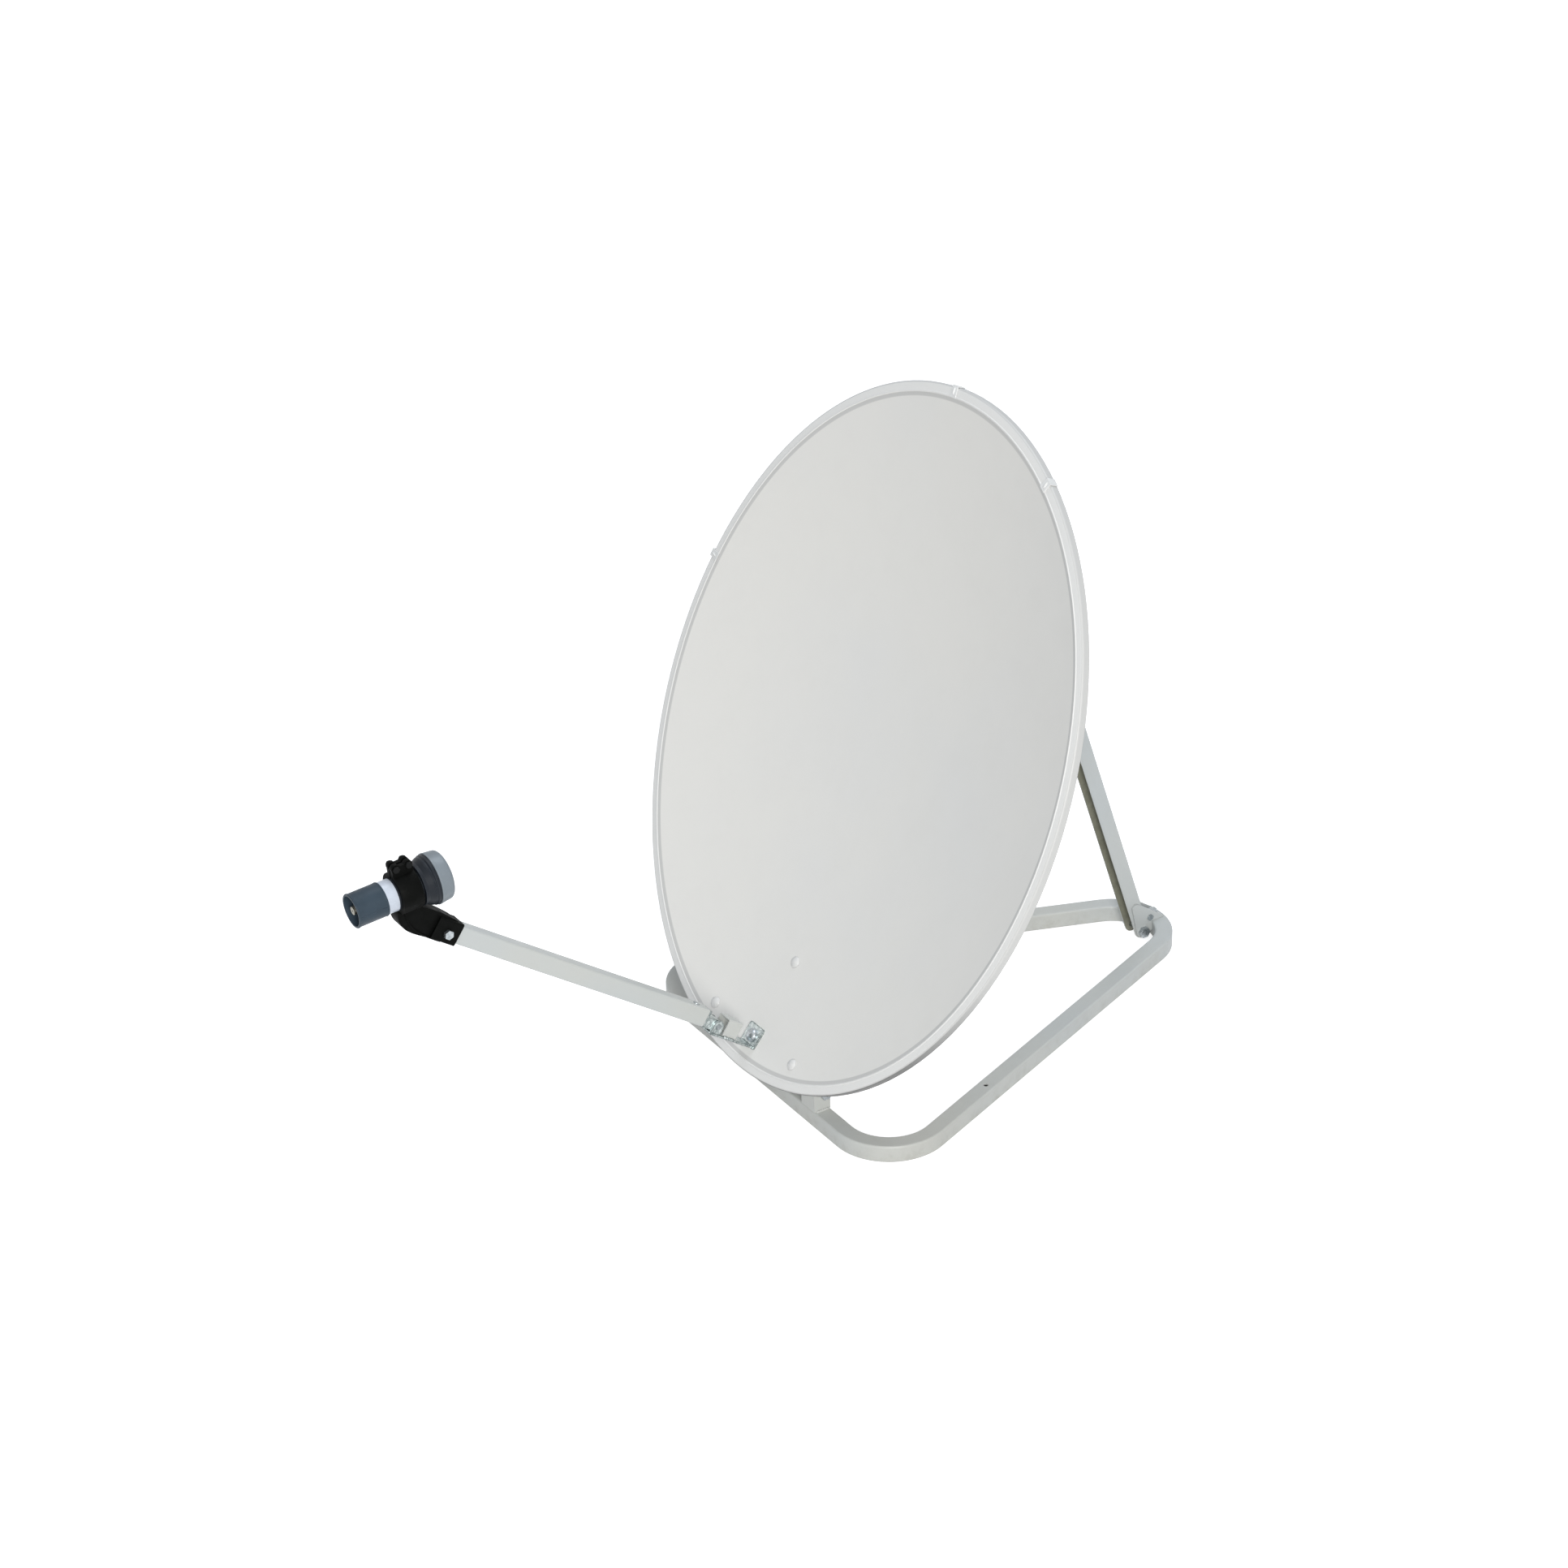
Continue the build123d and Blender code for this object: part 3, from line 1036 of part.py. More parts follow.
with BuildPart() as lnb_band:
    with BuildSketch(LNB_SIDE):
        with Locations((BODY_FRONT + SEAT, LNB_CORE + SEAT)):
            band_length = BAND_FRONT - BODY_FRONT - 2 * SEAT
            Rectangle(band_length, BAND_RADIUS - LNB_CORE - SEAT, align=(Align.MIN, Align.MIN))
    revolve(axis=LNB_AXIS)
finish(lnb_band, "lnb_band")

with BuildPart() as lnb_collar:
    with BuildSketch(LNB_SIDE):
        with BuildLine():
            Polyline(
                (BAND_FRONT, LNB_CORE + SEAT),
                (CAP_REAR - SEAT, LNB_CORE + SEAT),
                (CAP_REAR - SEAT, COLLAR_RADIUS),
                (CAP_REAR - 3.5, COLLAR_RADIUS),
                (CAP_REAR - 5, COLLAR_RADIUS - 1.8),
                (CAP_REAR - 8, COLLAR_RADIUS - 1.8),
                (NECK_FRONT + 4, COLLAR_REAR_RADIUS),
                (NECK_FRONT, COLLAR_REAR_RADIUS),
                (NECK_FRONT, NECK_RADIUS),
                (BAND_FRONT, NECK_RADIUS),
                (BAND_FRONT, LNB_CORE + SEAT),
            )
        make_face()
    revolve(axis=LNB_AXIS)
finish(lnb_collar, "lnb_collar")

CAP_TIP = CAP_REAR + CAP_LENGTH
CAP_INSIDE = CAP_TIP - CAP_WALL
CAP_SHOULDER = CAP_TIP - CAP_EDGE
CAP_INNER_SHOULDER = CAP_INSIDE - 3
with BuildPart() as lnb_cap:
    with BuildSketch(LNB_SIDE):
        with BuildLine():
            Line((CAP_REAR, CAP_RADIUS - CAP_WALL), (CAP_REAR, CAP_RADIUS))
            Line((CAP_REAR, CAP_RADIUS), (CAP_SHOULDER, CAP_FRONT_RADIUS + 0.6))
            Spline(
                (CAP_SHOULDER, CAP_FRONT_RADIUS + 0.6),
                (CAP_TIP - 1.5, CAP_FRONT_RADIUS - 3.5),
                (CAP_TIP, 0),
                tangents=((1, -0.12), (0, -1)),
            )
            Line((CAP_TIP, 0), (CAP_INSIDE, 0))
            Line((CAP_INSIDE, 0), (CAP_INNER_SHOULDER, CAP_FRONT_RADIUS - 6))
            Line(
                (CAP_INNER_SHOULDER, CAP_FRONT_RADIUS - 6),
                (CAP_SHOULDER - 1, CAP_FRONT_RADIUS - CAP_WALL),
            )
            Line((CAP_SHOULDER - 1, CAP_FRONT_RADIUS - CAP_WALL), (CAP_REAR, CAP_RADIUS - CAP_WALL))
        make_face()
    revolve(axis=LNB_AXIS)
finish(lnb_cap, "lnb_cap")
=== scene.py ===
import json
import math

import bpy
from mathutils import Matrix, Vector


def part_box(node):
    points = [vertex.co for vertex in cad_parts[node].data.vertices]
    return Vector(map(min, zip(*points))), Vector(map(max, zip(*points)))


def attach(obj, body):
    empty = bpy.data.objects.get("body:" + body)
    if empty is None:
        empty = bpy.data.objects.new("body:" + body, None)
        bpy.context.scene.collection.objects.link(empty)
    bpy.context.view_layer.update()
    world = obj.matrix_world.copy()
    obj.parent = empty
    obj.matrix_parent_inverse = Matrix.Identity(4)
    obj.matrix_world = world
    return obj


# Looks of the portable satellite dish. Metres, in the part's own frame.
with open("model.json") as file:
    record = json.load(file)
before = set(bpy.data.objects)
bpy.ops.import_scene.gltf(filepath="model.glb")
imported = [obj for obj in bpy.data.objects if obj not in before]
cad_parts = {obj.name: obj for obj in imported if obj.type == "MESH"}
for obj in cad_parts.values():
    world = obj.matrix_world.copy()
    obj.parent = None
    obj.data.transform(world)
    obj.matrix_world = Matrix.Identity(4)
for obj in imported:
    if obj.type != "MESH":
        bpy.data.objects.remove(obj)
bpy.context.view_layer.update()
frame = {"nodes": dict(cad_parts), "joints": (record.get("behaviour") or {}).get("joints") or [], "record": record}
nodes = frame["nodes"]
joints = {joint["name"]: joint for joint in frame["joints"]}
scene = bpy.context.scene


# ---------------------------------------------------------------- places on the dish and the arm
# Reflector: its rim plane stands on a foot and leans back
DISH_LEAN = math.radians(24.1)
DISH_FOOT_Y = -0.0328
DISH_FOOT_Z = 0.0248
# Half width and half height of its outline, and of the bowl inside the flange
EDGE_X = 0.375
EDGE_V = 0.424
BOWL_X = 0.364
BOWL_V = BOWL_X * EDGE_V / EDGE_X
BOWL_DEPTH = 0.06

# Feed arm: it rises forward from a point low on the rim plane
ARM_RISE = math.radians(35.57)
ARM_FOOT_V = 0.046 - EDGE_V


def dish_point(x, v, depth):
    """A point at x, at height v up the rim plane from its middle, and at a depth behind that plane."""
    y = DISH_FOOT_Y + (EDGE_V + v) * math.sin(DISH_LEAN) + depth * math.cos(DISH_LEAN)
    z = DISH_FOOT_Z + (EDGE_V + v) * math.cos(DISH_LEAN) - depth * math.sin(DISH_LEAN)
    return Vector((x, y, z))


def bowl_depth(x, v):
    """Depth of the bowl's face behind the rim plane."""
    return BOWL_DEPTH * (1 - (x / BOWL_X) ** 2 - (v / BOWL_V) ** 2)


def arm_point(along, height, x=0.0):
    """A point along the feed arm from its foot, at a height above its axis."""
    foot = dish_point(0, ARM_FOOT_V, 0)
    y = foot.y - math.cos(ARM_RISE) * along + math.sin(ARM_RISE) * height
    z = foot.z + math.sin(ARM_RISE) * along + math.cos(ARM_RISE) * height
    return Vector((x, y, z))


# ---------------------------------------------------------------- node helper of the materials
def linear(r, g, b):
    """Linear colour of an sRGB colour given in 0 to 255."""
    out = []
    for value in (r, g, b):
        value /= 255
        out.append(value / 12.92 if value <= 0.04045 else ((value + 0.055) / 1.055) ** 2.4)
    return (*out, 1.0)


def shade(colour, factor):
    """A colour made darker or lighter by a factor."""
    return (*[min(1.0, channel * factor) for channel in colour[:3]], 1.0)


class Nodes:
    """Short names for building a node material."""

    def __init__(self, name):
        self.material = bpy.data.materials.new(name)
        self.material.use_nodes = True
        self.tree = self.material.node_tree
        self.shader = self.tree.nodes["Principled BSDF"]
        self.place = self.node("ShaderNodeTexCoord").outputs["Object"]

    def node(self, kind, **values):
        """A new node with some of its properties set."""
        new = self.tree.nodes.new(kind)
        for key, value in values.items():
            setattr(new, key, value)
        return new

    def feed(self, socket, value):
        """Link an input to another node's output, or set it to a plain value."""
        if isinstance(value, bpy.types.NodeSocket):
            self.tree.links.new(value, socket)
        else:
            socket.default_value = value

    def noise(self, scale, detail=3.0, rough=0.55, stretch=None):
        """Noise in object coordinates, which three numbers may stretch first."""
        where = self.place
        if stretch:
            mapping = self.node("ShaderNodeMapping")
            self.feed(mapping.inputs["Scale"], stretch)
            self.feed(mapping.inputs["Vector"], self.place)
            where = mapping.outputs["Vector"]
        new = self.node("ShaderNodeTexNoise")
        self.feed(new.inputs["Scale"], scale)
        self.feed(new.inputs["Detail"], detail)
        self.feed(new.inputs["Roughness"], rough)
        self.feed(new.inputs["Vector"], where)
        return new.outputs["Fac"]

    def spangle(self, scale):
        """Flat random greys in cells."""
        cells = self.node("ShaderNodeTexVoronoi")
        self.feed(cells.inputs["Scale"], scale)
        self.feed(cells.inputs["Vector"], self.place)
        grey = self.node("ShaderNodeRGBToBW")
        self.feed(grey.inputs["Color"], cells.outputs["Color"])
        return grey.outputs["Val"]

    def spread(self, value, start, end, base=0.0, top=1.0):
        """A smooth step: base where the value is at start or before it, top from end on."""
        new = self.node("ShaderNodeMapRange", interpolation_type="SMOOTHSTEP")
        self.feed(new.inputs["Value"], value)
        self.feed(new.inputs["From Min"], start)
        self.feed(new.inputs["From Max"], end)
        self.feed(new.inputs["To Min"], base)
        self.feed(new.inputs["To Max"], top)
        return new.outputs["Result"]

    def patches(self, scale, start, end, base=0.0, top=1.0, detail=3.0, rough=0.55):
        """Soft patches: a smooth step taken over noise."""
        return self.spread(self.noise(scale, detail, rough), start, end, base, top)

    def math(self, operation, a, b):
        new = self.node("ShaderNodeMath", operation=operation)
        self.feed(new.inputs[0], a)
        self.feed(new.inputs[1], b)
        return new.outputs["Value"]

    def product(self, first, *others):
        """Product of values or masks."""
        for other in others:
            first = self.math("MULTIPLY", first, other)
        return first

    def blend(self, factor, a, b):
        """Colour a where the factor is 0, colour b where it is 1."""
        new = self.node("ShaderNodeMix", data_type="RGBA")
        self.feed(new.inputs["Factor"], factor)
        self.feed(new.inputs["A"], a)
        self.feed(new.inputs["B"], b)
        return new.outputs["Result"]

    def height(self):
        """Height above the ground at rest."""
        split = self.node("ShaderNodeSeparateXYZ")
        self.feed(split.inputs["Vector"], self.place)
        return split.outputs["Z"]

    def away(self, origin):
        """Object position, measured from an origin."""
        new = self.node("ShaderNodeVectorMath", operation="SUBTRACT")
        self.feed(new.inputs[0], self.place)
        self.feed(new.inputs[1], origin)
        return new.outputs["Vector"]

    def dot(self, a, b):
        """Dot product of two vectors."""
        new = self.node("ShaderNodeVectorMath", operation="DOT_PRODUCT")
        self.feed(new.inputs[0], a)
        self.feed(new.inputs[1], b)
        return new.outputs["Value"]

    def normal(self):
        """Normal of the surface."""
        return self.node("ShaderNodeNewGeometry").outputs["Normal"]

    def rounded_normal(self, radius):
        """Normal that sharp edges turn over a radius."""
        bevel = self.node("ShaderNodeBevel", samples=4)
        self.feed(bevel.inputs["Radius"], radius)
        return bevel.outputs["Normal"]

    def edge(self, radius):
        """1 near a sharp edge, 0 on flat ground."""
        flat, sharp = 0.99, 0.85
        return self.spread(self.dot(self.rounded_normal(radius), self.normal()), flat, sharp)

    def colour(self, tone):
        """Colour of the surface."""
        self.feed(self.shader.inputs["Base Color"], tone)

    def roughness(self, scale, detail, span):
        """Roughness that drifts between the two ends of a span."""
        base, top = span
        drift = self.patches(scale, start=0.3, end=0.7, base=base, top=top, detail=detail)
        self.feed(self.shader.inputs["Roughness"], drift)

    def bump(self, height, distance, strength, rounding=0.0006):
        """Bump from a height, on a normal whose sharp edges are slightly rounded."""
        new = self.node("ShaderNodeBump")
        self.feed(new.inputs["Distance"], distance)
        self.feed(new.inputs["Strength"], strength)
        self.feed(new.inputs["Height"], height)
        self.feed(new.inputs["Normal"], self.rounded_normal(rounding))
        self.feed(self.shader.inputs["Normal"], new.outputs["Normal"])

    def constants(self, **values):
        """Values of the shader that are the same all over the surface."""
        for key, value in values.items():
            self.shader.inputs[key.replace("_", " ")].default_value = value


# ---------------------------------------------------------------- painted light and shade on the reflector's rim
# Where each tone comes in or goes out, as squares of the distance from the middle, 1 at the outline
LINE_IN = (0.913, 0.921)
LINE_OUT = (0.941, 0.935)
FLANGE_IN = (0.936, 0.942)
UNDER_IN = (0.975, 0.985)
WALL_IN = (0.986, 0.993)
# Painted shade falls on what faces down, low on the dish
FACES_DOWN = (0.05, -0.3)
LOW_DOWN = (0.3, 0.12)
# How dark each painted shade is beside the flange, and how strongly the painted shade shows
LINE_SHADE = 0.7
WALL_SHADE = 0.76
UNDER_EDGE_SHADE = 0.18
PAINTED_SHADE_STRENGTH = 0.9


def rim_reach(m):
    """Squared distance from the reflector's middle, 1 at its outline, across the rim plane."""
    away = m.away(dish_point(0, 0, 0))
    squares = []
    for axis, reach in (((1, 0, 0), EDGE_X), ((0, math.sin(DISH_LEAN), math.cos(DISH_LEAN)), EDGE_V)):
        squares.append(m.math("POWER", m.product(m.dot(away, axis), 1 / reach), 2.0))
    return m.math("ADD", *squares)


def rim_light_and_shade(m, tone, rim):
    """Painted shade as a dull line round the bowl, a painted highlight on the paler flange, and painted shade on
    the wall and under the low edge.
    """
    reach = rim_reach(m)
    # Painted shade: a dull line round the bowl
    line_round = m.product(m.spread(reach, *LINE_IN), m.spread(reach, *LINE_OUT), PAINTED_SHADE_STRENGTH)
    tone = m.blend(line_round, tone, shade(rim, LINE_SHADE))
    # Painted highlight: the flange paler than the bowl
    tone = m.blend(m.spread(reach, *FLANGE_IN), tone, rim)
    # Painted shade on the rim's wall
    tone = m.blend(m.spread(reach, *WALL_IN), tone, shade(rim, WALL_SHADE))
    # Painted shade under the low edge, on what faces down
    split = m.node("ShaderNodeSeparateXYZ")
    m.feed(split.inputs["Vector"], m.normal())
    down = m.spread(split.outputs["Z"], *FACES_DOWN)
    low = m.spread(m.height(), *LOW_DOWN)
    grime_and_shade = m.product(down, low, m.spread(reach, *UNDER_IN), PAINTED_SHADE_STRENGTH)
    return m.blend(grime_and_shade, tone, shade(rim, UNDER_EDGE_SHADE))


def channel_shade_mask(m):
    """1 on the inner faces of the strut's channel and on what runs in it, which take painted shade, 0 elsewhere.
    """
    foot = Vector(joints["strut_swing"]["pos_m"])
    up = (Vector(joints["strut_link"]["pos_m"]) - foot).normalized()
    across = Vector((1, 0, 0))
    front = across.cross(up)
    limits = (
        # axis, where the mask is 0, where it is 1
        (across, 0.0102, 0.0097),  # inside one side
        (-across, 0.0102, 0.0097),  # inside the other side
        (front, -0.0092, -0.0087),  # in front of the web
        (front, 0.0125, 0.0115),  # behind the open front
        (up, 0.492, 0.488),  # below the channel's top
    )
    away = m.away(foot)
    return m.product(*[m.spread(m.dot(away, axis), zero, one) for axis, zero, one in limits])


# ---------------------------------------------------------------- recipes of the materials
WORN_PAINT = linear(150, 148, 143)
ZINC_BLOOM = linear(214, 214, 208)


def powder_coat(
    name, colour, cool, grime_and_shade, peel=430.0, rough=(0.36, 0.5), chips=0.0, rim=None, inner=None
):
    """Powder-coated steel: orange peel, faint tone patches, dust low down, small scuffs."""
    m = Nodes(name)
    tone = m.blend(m.patches(scale=2.3, start=0.35, end=0.68), colour, cool)
    smears = m.patches(scale=26, start=0.4, end=0.75, top=0.22, detail=6, rough=0.65)
    tone = m.blend(smears, tone, shade(colour, 0.94))
    specks = m.patches(scale=700, start=0.7, end=0.75, top=0.3, detail=2)
    tone = m.blend(specks, tone, shade(colour, 0.8))
    # Painted highlight and painted shade round the reflector's rim
    if rim:
        tone = rim_light_and_shade(m, tone, rim)
    # Painted shade inside the strut's channel, mottled by stains
    if inner:
        stains = m.patches(scale=55, start=0.35, end=0.7, detail=5, rough=0.7)
        tone = m.blend(channel_shade_mask(m), tone, m.blend(stains, inner, shade(inner, 0.78)))
    near_ground = m.spread(m.height(), start=0.03, end=0.0, top=0.4)
    dust = m.product(near_ground, m.patches(scale=70, start=0.4, end=0.75, detail=6, rough=0.7))
    tone = m.blend(dust, tone, grime_and_shade)
    if chips:
        scuffs = m.patches(scale=90, start=0.62, end=0.68, top=chips, detail=5, rough=0.7)
        tone = m.blend(m.product(m.edge(radius=0.0016), scuffs), tone, WORN_PAINT)
    m.colour(tone)
    m.roughness(scale=11, detail=5, span=rough)
    peel_height = m.math("ADD", m.noise(scale=peel, detail=1.5), m.product(m.noise(scale=38), 0.6))
    m.bump(peel_height, distance=0.00012, strength=0.55)
    m.constants(Specular_IOR_Level=0.42, Coat_Weight=0.08, Coat_Roughness=0.25)
    return m.material


def zinc(name, bright, dark, rough=(0.24, 0.42), edge_shade=0.0):
    """Bright zinc plate: faint spangle, rolling streaks, a little white bloom, and painted shade along sharp edges
    and creases if asked.
    """
    m = Nodes(name)
    tone = m.blend(m.spread(m.spangle(scale=420), start=0.1, end=0.9, top=0.6), bright, dark)
    streaks = m.noise(scale=1.0, detail=4, rough=0.6, stretch=(260, 260, 40))
    tone = m.blend(m.spread(streaks, start=0.4, end=0.7, top=0.5), tone, shade(dark, 0.82))
    bloom = m.patches(scale=120, start=0.6, end=0.74, top=0.45, detail=6, rough=0.7)
    tone = m.blend(bloom, tone, ZINC_BLOOM)
    # Painted shade along sharp edges and in creases
    if edge_shade:
        tone = m.blend(m.product(m.edge(radius=0.0022), edge_shade), tone, shade(dark, 0.3))
    m.colour(tone)
    m.roughness(scale=160, detail=4, span=rough)
    relief = m.math("ADD", streaks, m.product(bloom, 0.5))
    m.bump(relief, distance=0.00006, strength=0.6, rounding=0.0004)
    m.constants(Metallic=0.92)
    return m.material


def moulded(name, colour, worn, rough=(0.4, 0.6), grain_depth=0.00009, polish=0.5, level=0.45):
    """Moulded plastic: spark-eroded grain, slightly polished edges, faint sun fade."""
    m = Nodes(name)
    fade = m.patches(scale=34, start=0.35, end=0.72, top=0.8, detail=5, rough=0.65)
    tone = m.blend(fade, colour, shade(colour, 0.84))
    rubbed = m.patches(scale=200, start=0.35, end=0.7, base=0.2, top=polish, detail=4)
    tone = m.blend(m.product(m.edge(radius=0.0012), rubbed), tone, worn)
    dust = m.patches(scale=520, start=0.66, end=0.76, top=0.25, detail=4, rough=0.75)
    tone = m.blend(dust, tone, shade(worn, 1.15))
    m.colour(tone)
    m.roughness(scale=90, detail=5, span=rough)
    grain = m.math("ADD", m.noise(scale=1500, detail=2), m.product(m.noise(scale=220), 0.4))
    m.bump(grain, distance=grain_depth, strength=0.6, rounding=0.0005)
    m.constants(Specular_IOR_Level=level)
    return m.material


# ---------------------------------------------------------------- materials, one for each slot
LOOKS = {
    "frame_paint": (powder_coat, dict(
        colour=linear(191, 192, 187), cool=linear(183, 188, 189), grime_and_shade=linear(154, 152, 143),
        # inner: painted shade inside the strut's channel
        inner=linear(138, 138, 123), chips=0.6,
    )),
    "dish_paint": (powder_coat, dict(
        colour=linear(222, 221, 217), cool=linear(219, 219, 217), grime_and_shade=linear(203, 202, 195),
        # rim: the flange's painted highlight, and the colour that the rim's painted shade darkens
        rim=linear(223, 223, 221), peel=520.0, rough=(0.42, 0.52),
    )),
    "painted_bolts": (powder_coat, dict(
        colour=linear(210, 210, 208), cool=linear(204, 205, 205), grime_and_shade=linear(174, 172, 164), chips=0.4,
    )),
    "clip_white": (moulded, dict(
        colour=linear(224, 225, 224), worn=linear(236, 236, 234), rough=(0.3, 0.42),
    )),
    "zinc_sheet": (zinc, dict(
        # Painted shade along the sheet's edges and creases
        bright=linear(224, 231, 230), dark=linear(122, 136, 137), edge_shade=0.9,
    )),
    "zinc_hardware": (zinc, dict(
        bright=linear(190, 195, 198), dark=linear(140, 148, 152), rough=(0.2, 0.38),
    )),
    "black_hardware": (moulded, dict(
        colour=linear(14, 15, 15), worn=linear(36, 37, 37), rough=(0.35, 0.5), polish=0.3, level=0.12,
    )),
    "black_plastic": (moulded, dict(
        colour=linear(6, 7, 6), worn=linear(21, 22, 21), rough=(0.5, 0.7), polish=0.3, level=0.06,
    )),
    "lnb_slate": (moulded, dict(
        colour=linear(53, 66, 77), worn=linear(78, 90, 100), rough=(0.4, 0.55), polish=0.3, level=0.18,
    )),
    "lnb_collar_grey": (moulded, dict(
        colour=linear(31, 35, 41), worn=linear(84, 94, 104), rough=(0.35, 0.5), polish=0.4, level=0.16,
    )),
    "lnb_cap_grey": (moulded, dict(
        colour=linear(120, 129, 136), worn=linear(150, 158, 163), rough=(0.32, 0.48), polish=0.3,
    )),
    "lnb_band_pale": (moulded, dict(
        colour=linear(197, 205, 217), worn=linear(211, 218, 224), rough=(0.22, 0.34),
        grain_depth=0.00003,
    )),
    "connector_plate": (zinc, dict(
        # Darkened plating: painted shade for the connector deep in its recess
        bright=linear(150, 148, 138), dark=linear(110, 106, 94), rough=(0.25, 0.4),
    )),
}
materials = {name: recipe(name, **look) for name, (recipe, look) in LOOKS.items()}

for subpart in frame["record"]["subparts"]:
    slots = nodes[subpart["node"]].data.materials
    slots.clear()
    slots.append(materials[subpart["material_slot"]])


# ---------------------------------------------------------------- mesh helpers
# A shape is a list of vertices and a list of faces
def piece(name, shape, body, slot):
    """A new piece of the scene, from a shape, that rides on a body."""
    vertices, faces = shape
    mesh = bpy.data.meshes.new(name)
    mesh.from_pydata([tuple(v) for v in vertices], [], faces)
    mesh.update()
    for polygon in mesh.polygons:
        polygon.use_smooth = True
    mesh.materials.append(materials[slot])
    new = bpy.data.objects.new(name, mesh)
    scene.collection.objects.link(new)
    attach(new, body)


def joined(shapes):
    """One shape from several."""
    vertices, faces = [], []
    for part_vertices, part_faces in shapes:
        start = len(vertices)
        vertices += part_vertices
        faces += [tuple(index + start for index in face) for face in part_faces]
    return vertices, faces


def swept(points, radii, sides=10, closed=False):
    """Shape of a round bead along some points, with its own radius at each."""
    vertices, faces = [], []
    count = len(points)
    side = None
    for i, point in enumerate(points):
        before = points[(i - 1) % count] if closed or i else point
        after = points[(i + 1) % count] if closed or i < count - 1 else point
        along = (after - before).normalized()
        if side is None:
            guess = Vector((0, 0, 1)) if abs(along.z) < 0.9 else Vector((1, 0, 0))
            side = along.cross(guess).normalized()
        side = (side - along * side.dot(along)).normalized()
        up = along.cross(side)
        for k in range(sides):
            turn = 2 * math.pi * k / sides
            vertices.append(point + radii[i] * (math.cos(turn) * side + math.sin(turn) * up))
    for i in range(count if closed else count - 1):
        here = i * sides
        there = (i + 1) % count * sides
        for k in range(sides):
            beside = (k + 1) % sides
            faces.append((here + k, here + beside, there + beside, there + k))
    if not closed:
        faces.append(tuple(reversed(range(sides))))
        faces.append(tuple(range((count - 1) * sides, count * sides)))
    return vertices, faces


def even(points, radius, sides=10, closed=False):
    """Shape of a round bead of one radius."""
    return swept(points, [radius] * len(points), sides, closed)


def turned(profile, origin, axis, steps=72):
    """Shape of a ring: a closed profile of (along, radius) points, turned about an axis."""
    axis = axis.normalized()
    side = Vector((1, 0, 0))
    up = axis.cross(side)
    vertices, faces = [], []
    count = len(profile)
    for i in range(steps):
        turn = 2 * math.pi * i / steps
        out = math.cos(turn) * side + math.sin(turn) * up
        vertices += [origin + axis * along + out * radius for along, radius in profile]
    for i in range(steps):
        here = i * count
        there = (i + 1) % steps * count
        for k in range(count):
            beside = (k + 1) % count
            faces.append((here + k, here + beside, there + beside, there + k))
    return vertices, faces


def thread(origin, axis, radius, length, pitch, depth):
    """Shape of a helical ridge round a shank, which fades out at both ends."""
    steps_a_turn = 24
    fade_steps = 8
    half = pitch * 0.42  # half width of the ridge
    foot = radius - depth * 0.2  # its sides start just under the shank's surface
    axis = axis.normalized()
    side = axis.orthogonal().normalized()
    up = axis.cross(side)
    steps = round(steps_a_turn * length / pitch)
    vertices, faces = [], []
    for i in range(steps + 1):
        turn = 2 * math.pi * i * length / pitch / steps
        fade = min(1.0, i / fade_steps, (steps - i) / fade_steps)
        out = math.cos(turn) * side + math.sin(turn) * up
        centre = origin + axis * (length * i / steps)
        vertices.append(centre - axis * half + out * foot)
        vertices.append(centre + out * (radius + depth * fade))
        vertices.append(centre + axis * half + out * foot)
    for i in range(steps):
        a, b = 3 * i, 3 * (i + 1)
        faces += [(a, b, b + 1, a + 1), (a + 1, b + 1, b + 2, a + 2), (a + 2, b + 2, b, a)]
    faces += [(0, 1, 2), (3 * steps + 2, 3 * steps + 1, 3 * steps)]
    return vertices, faces


def line(start, end, steps):
    """Points spread evenly from start to end."""
    return [start.lerp(end, i / steps) for i in range(steps + 1)]


def ellipse(half_x, half_v, depth, count=220):
    """Points round the reflector, at a depth behind its rim plane."""
    turns = [2 * math.pi * i / count for i in range(count)]
    return [dish_point(half_x * math.cos(t), half_v * math.sin(t), depth) for t in turns]


def weld(start, end, steps, radius):
    """Shape of a weld bead, which swells at each drop of metal and tapers at both ends."""
    drop_steps = 4
    swell = 0.18
    taper_steps = 3
    points = line(start, end, steps)
    count = len(points)
    radii = []
    for i in range(count):
        taper = min(1.0, (i + 1) / taper_steps, (count - i) / taper_steps)
        radii.append(radius * taper * (1 + swell * math.sin(2 * math.pi * i / drop_steps)))
    return swept(points, radii, sides=8)


# ---------------------------------------------------------------- reflector: rolled hem and bead
HEM_INSET = 0.00125
hem = ellipse(EDGE_X - HEM_INSET, EDGE_V - HEM_INSET, depth=0.0095)
piece("reflector_hem", even(hem, 0.0012, closed=True), "dish", "dish_paint")
bead = ellipse(0.3645, 0.4121, depth=0.0008)
piece("reflector_bead", even(bead, 0.0014, closed=True), "dish", "dish_paint")

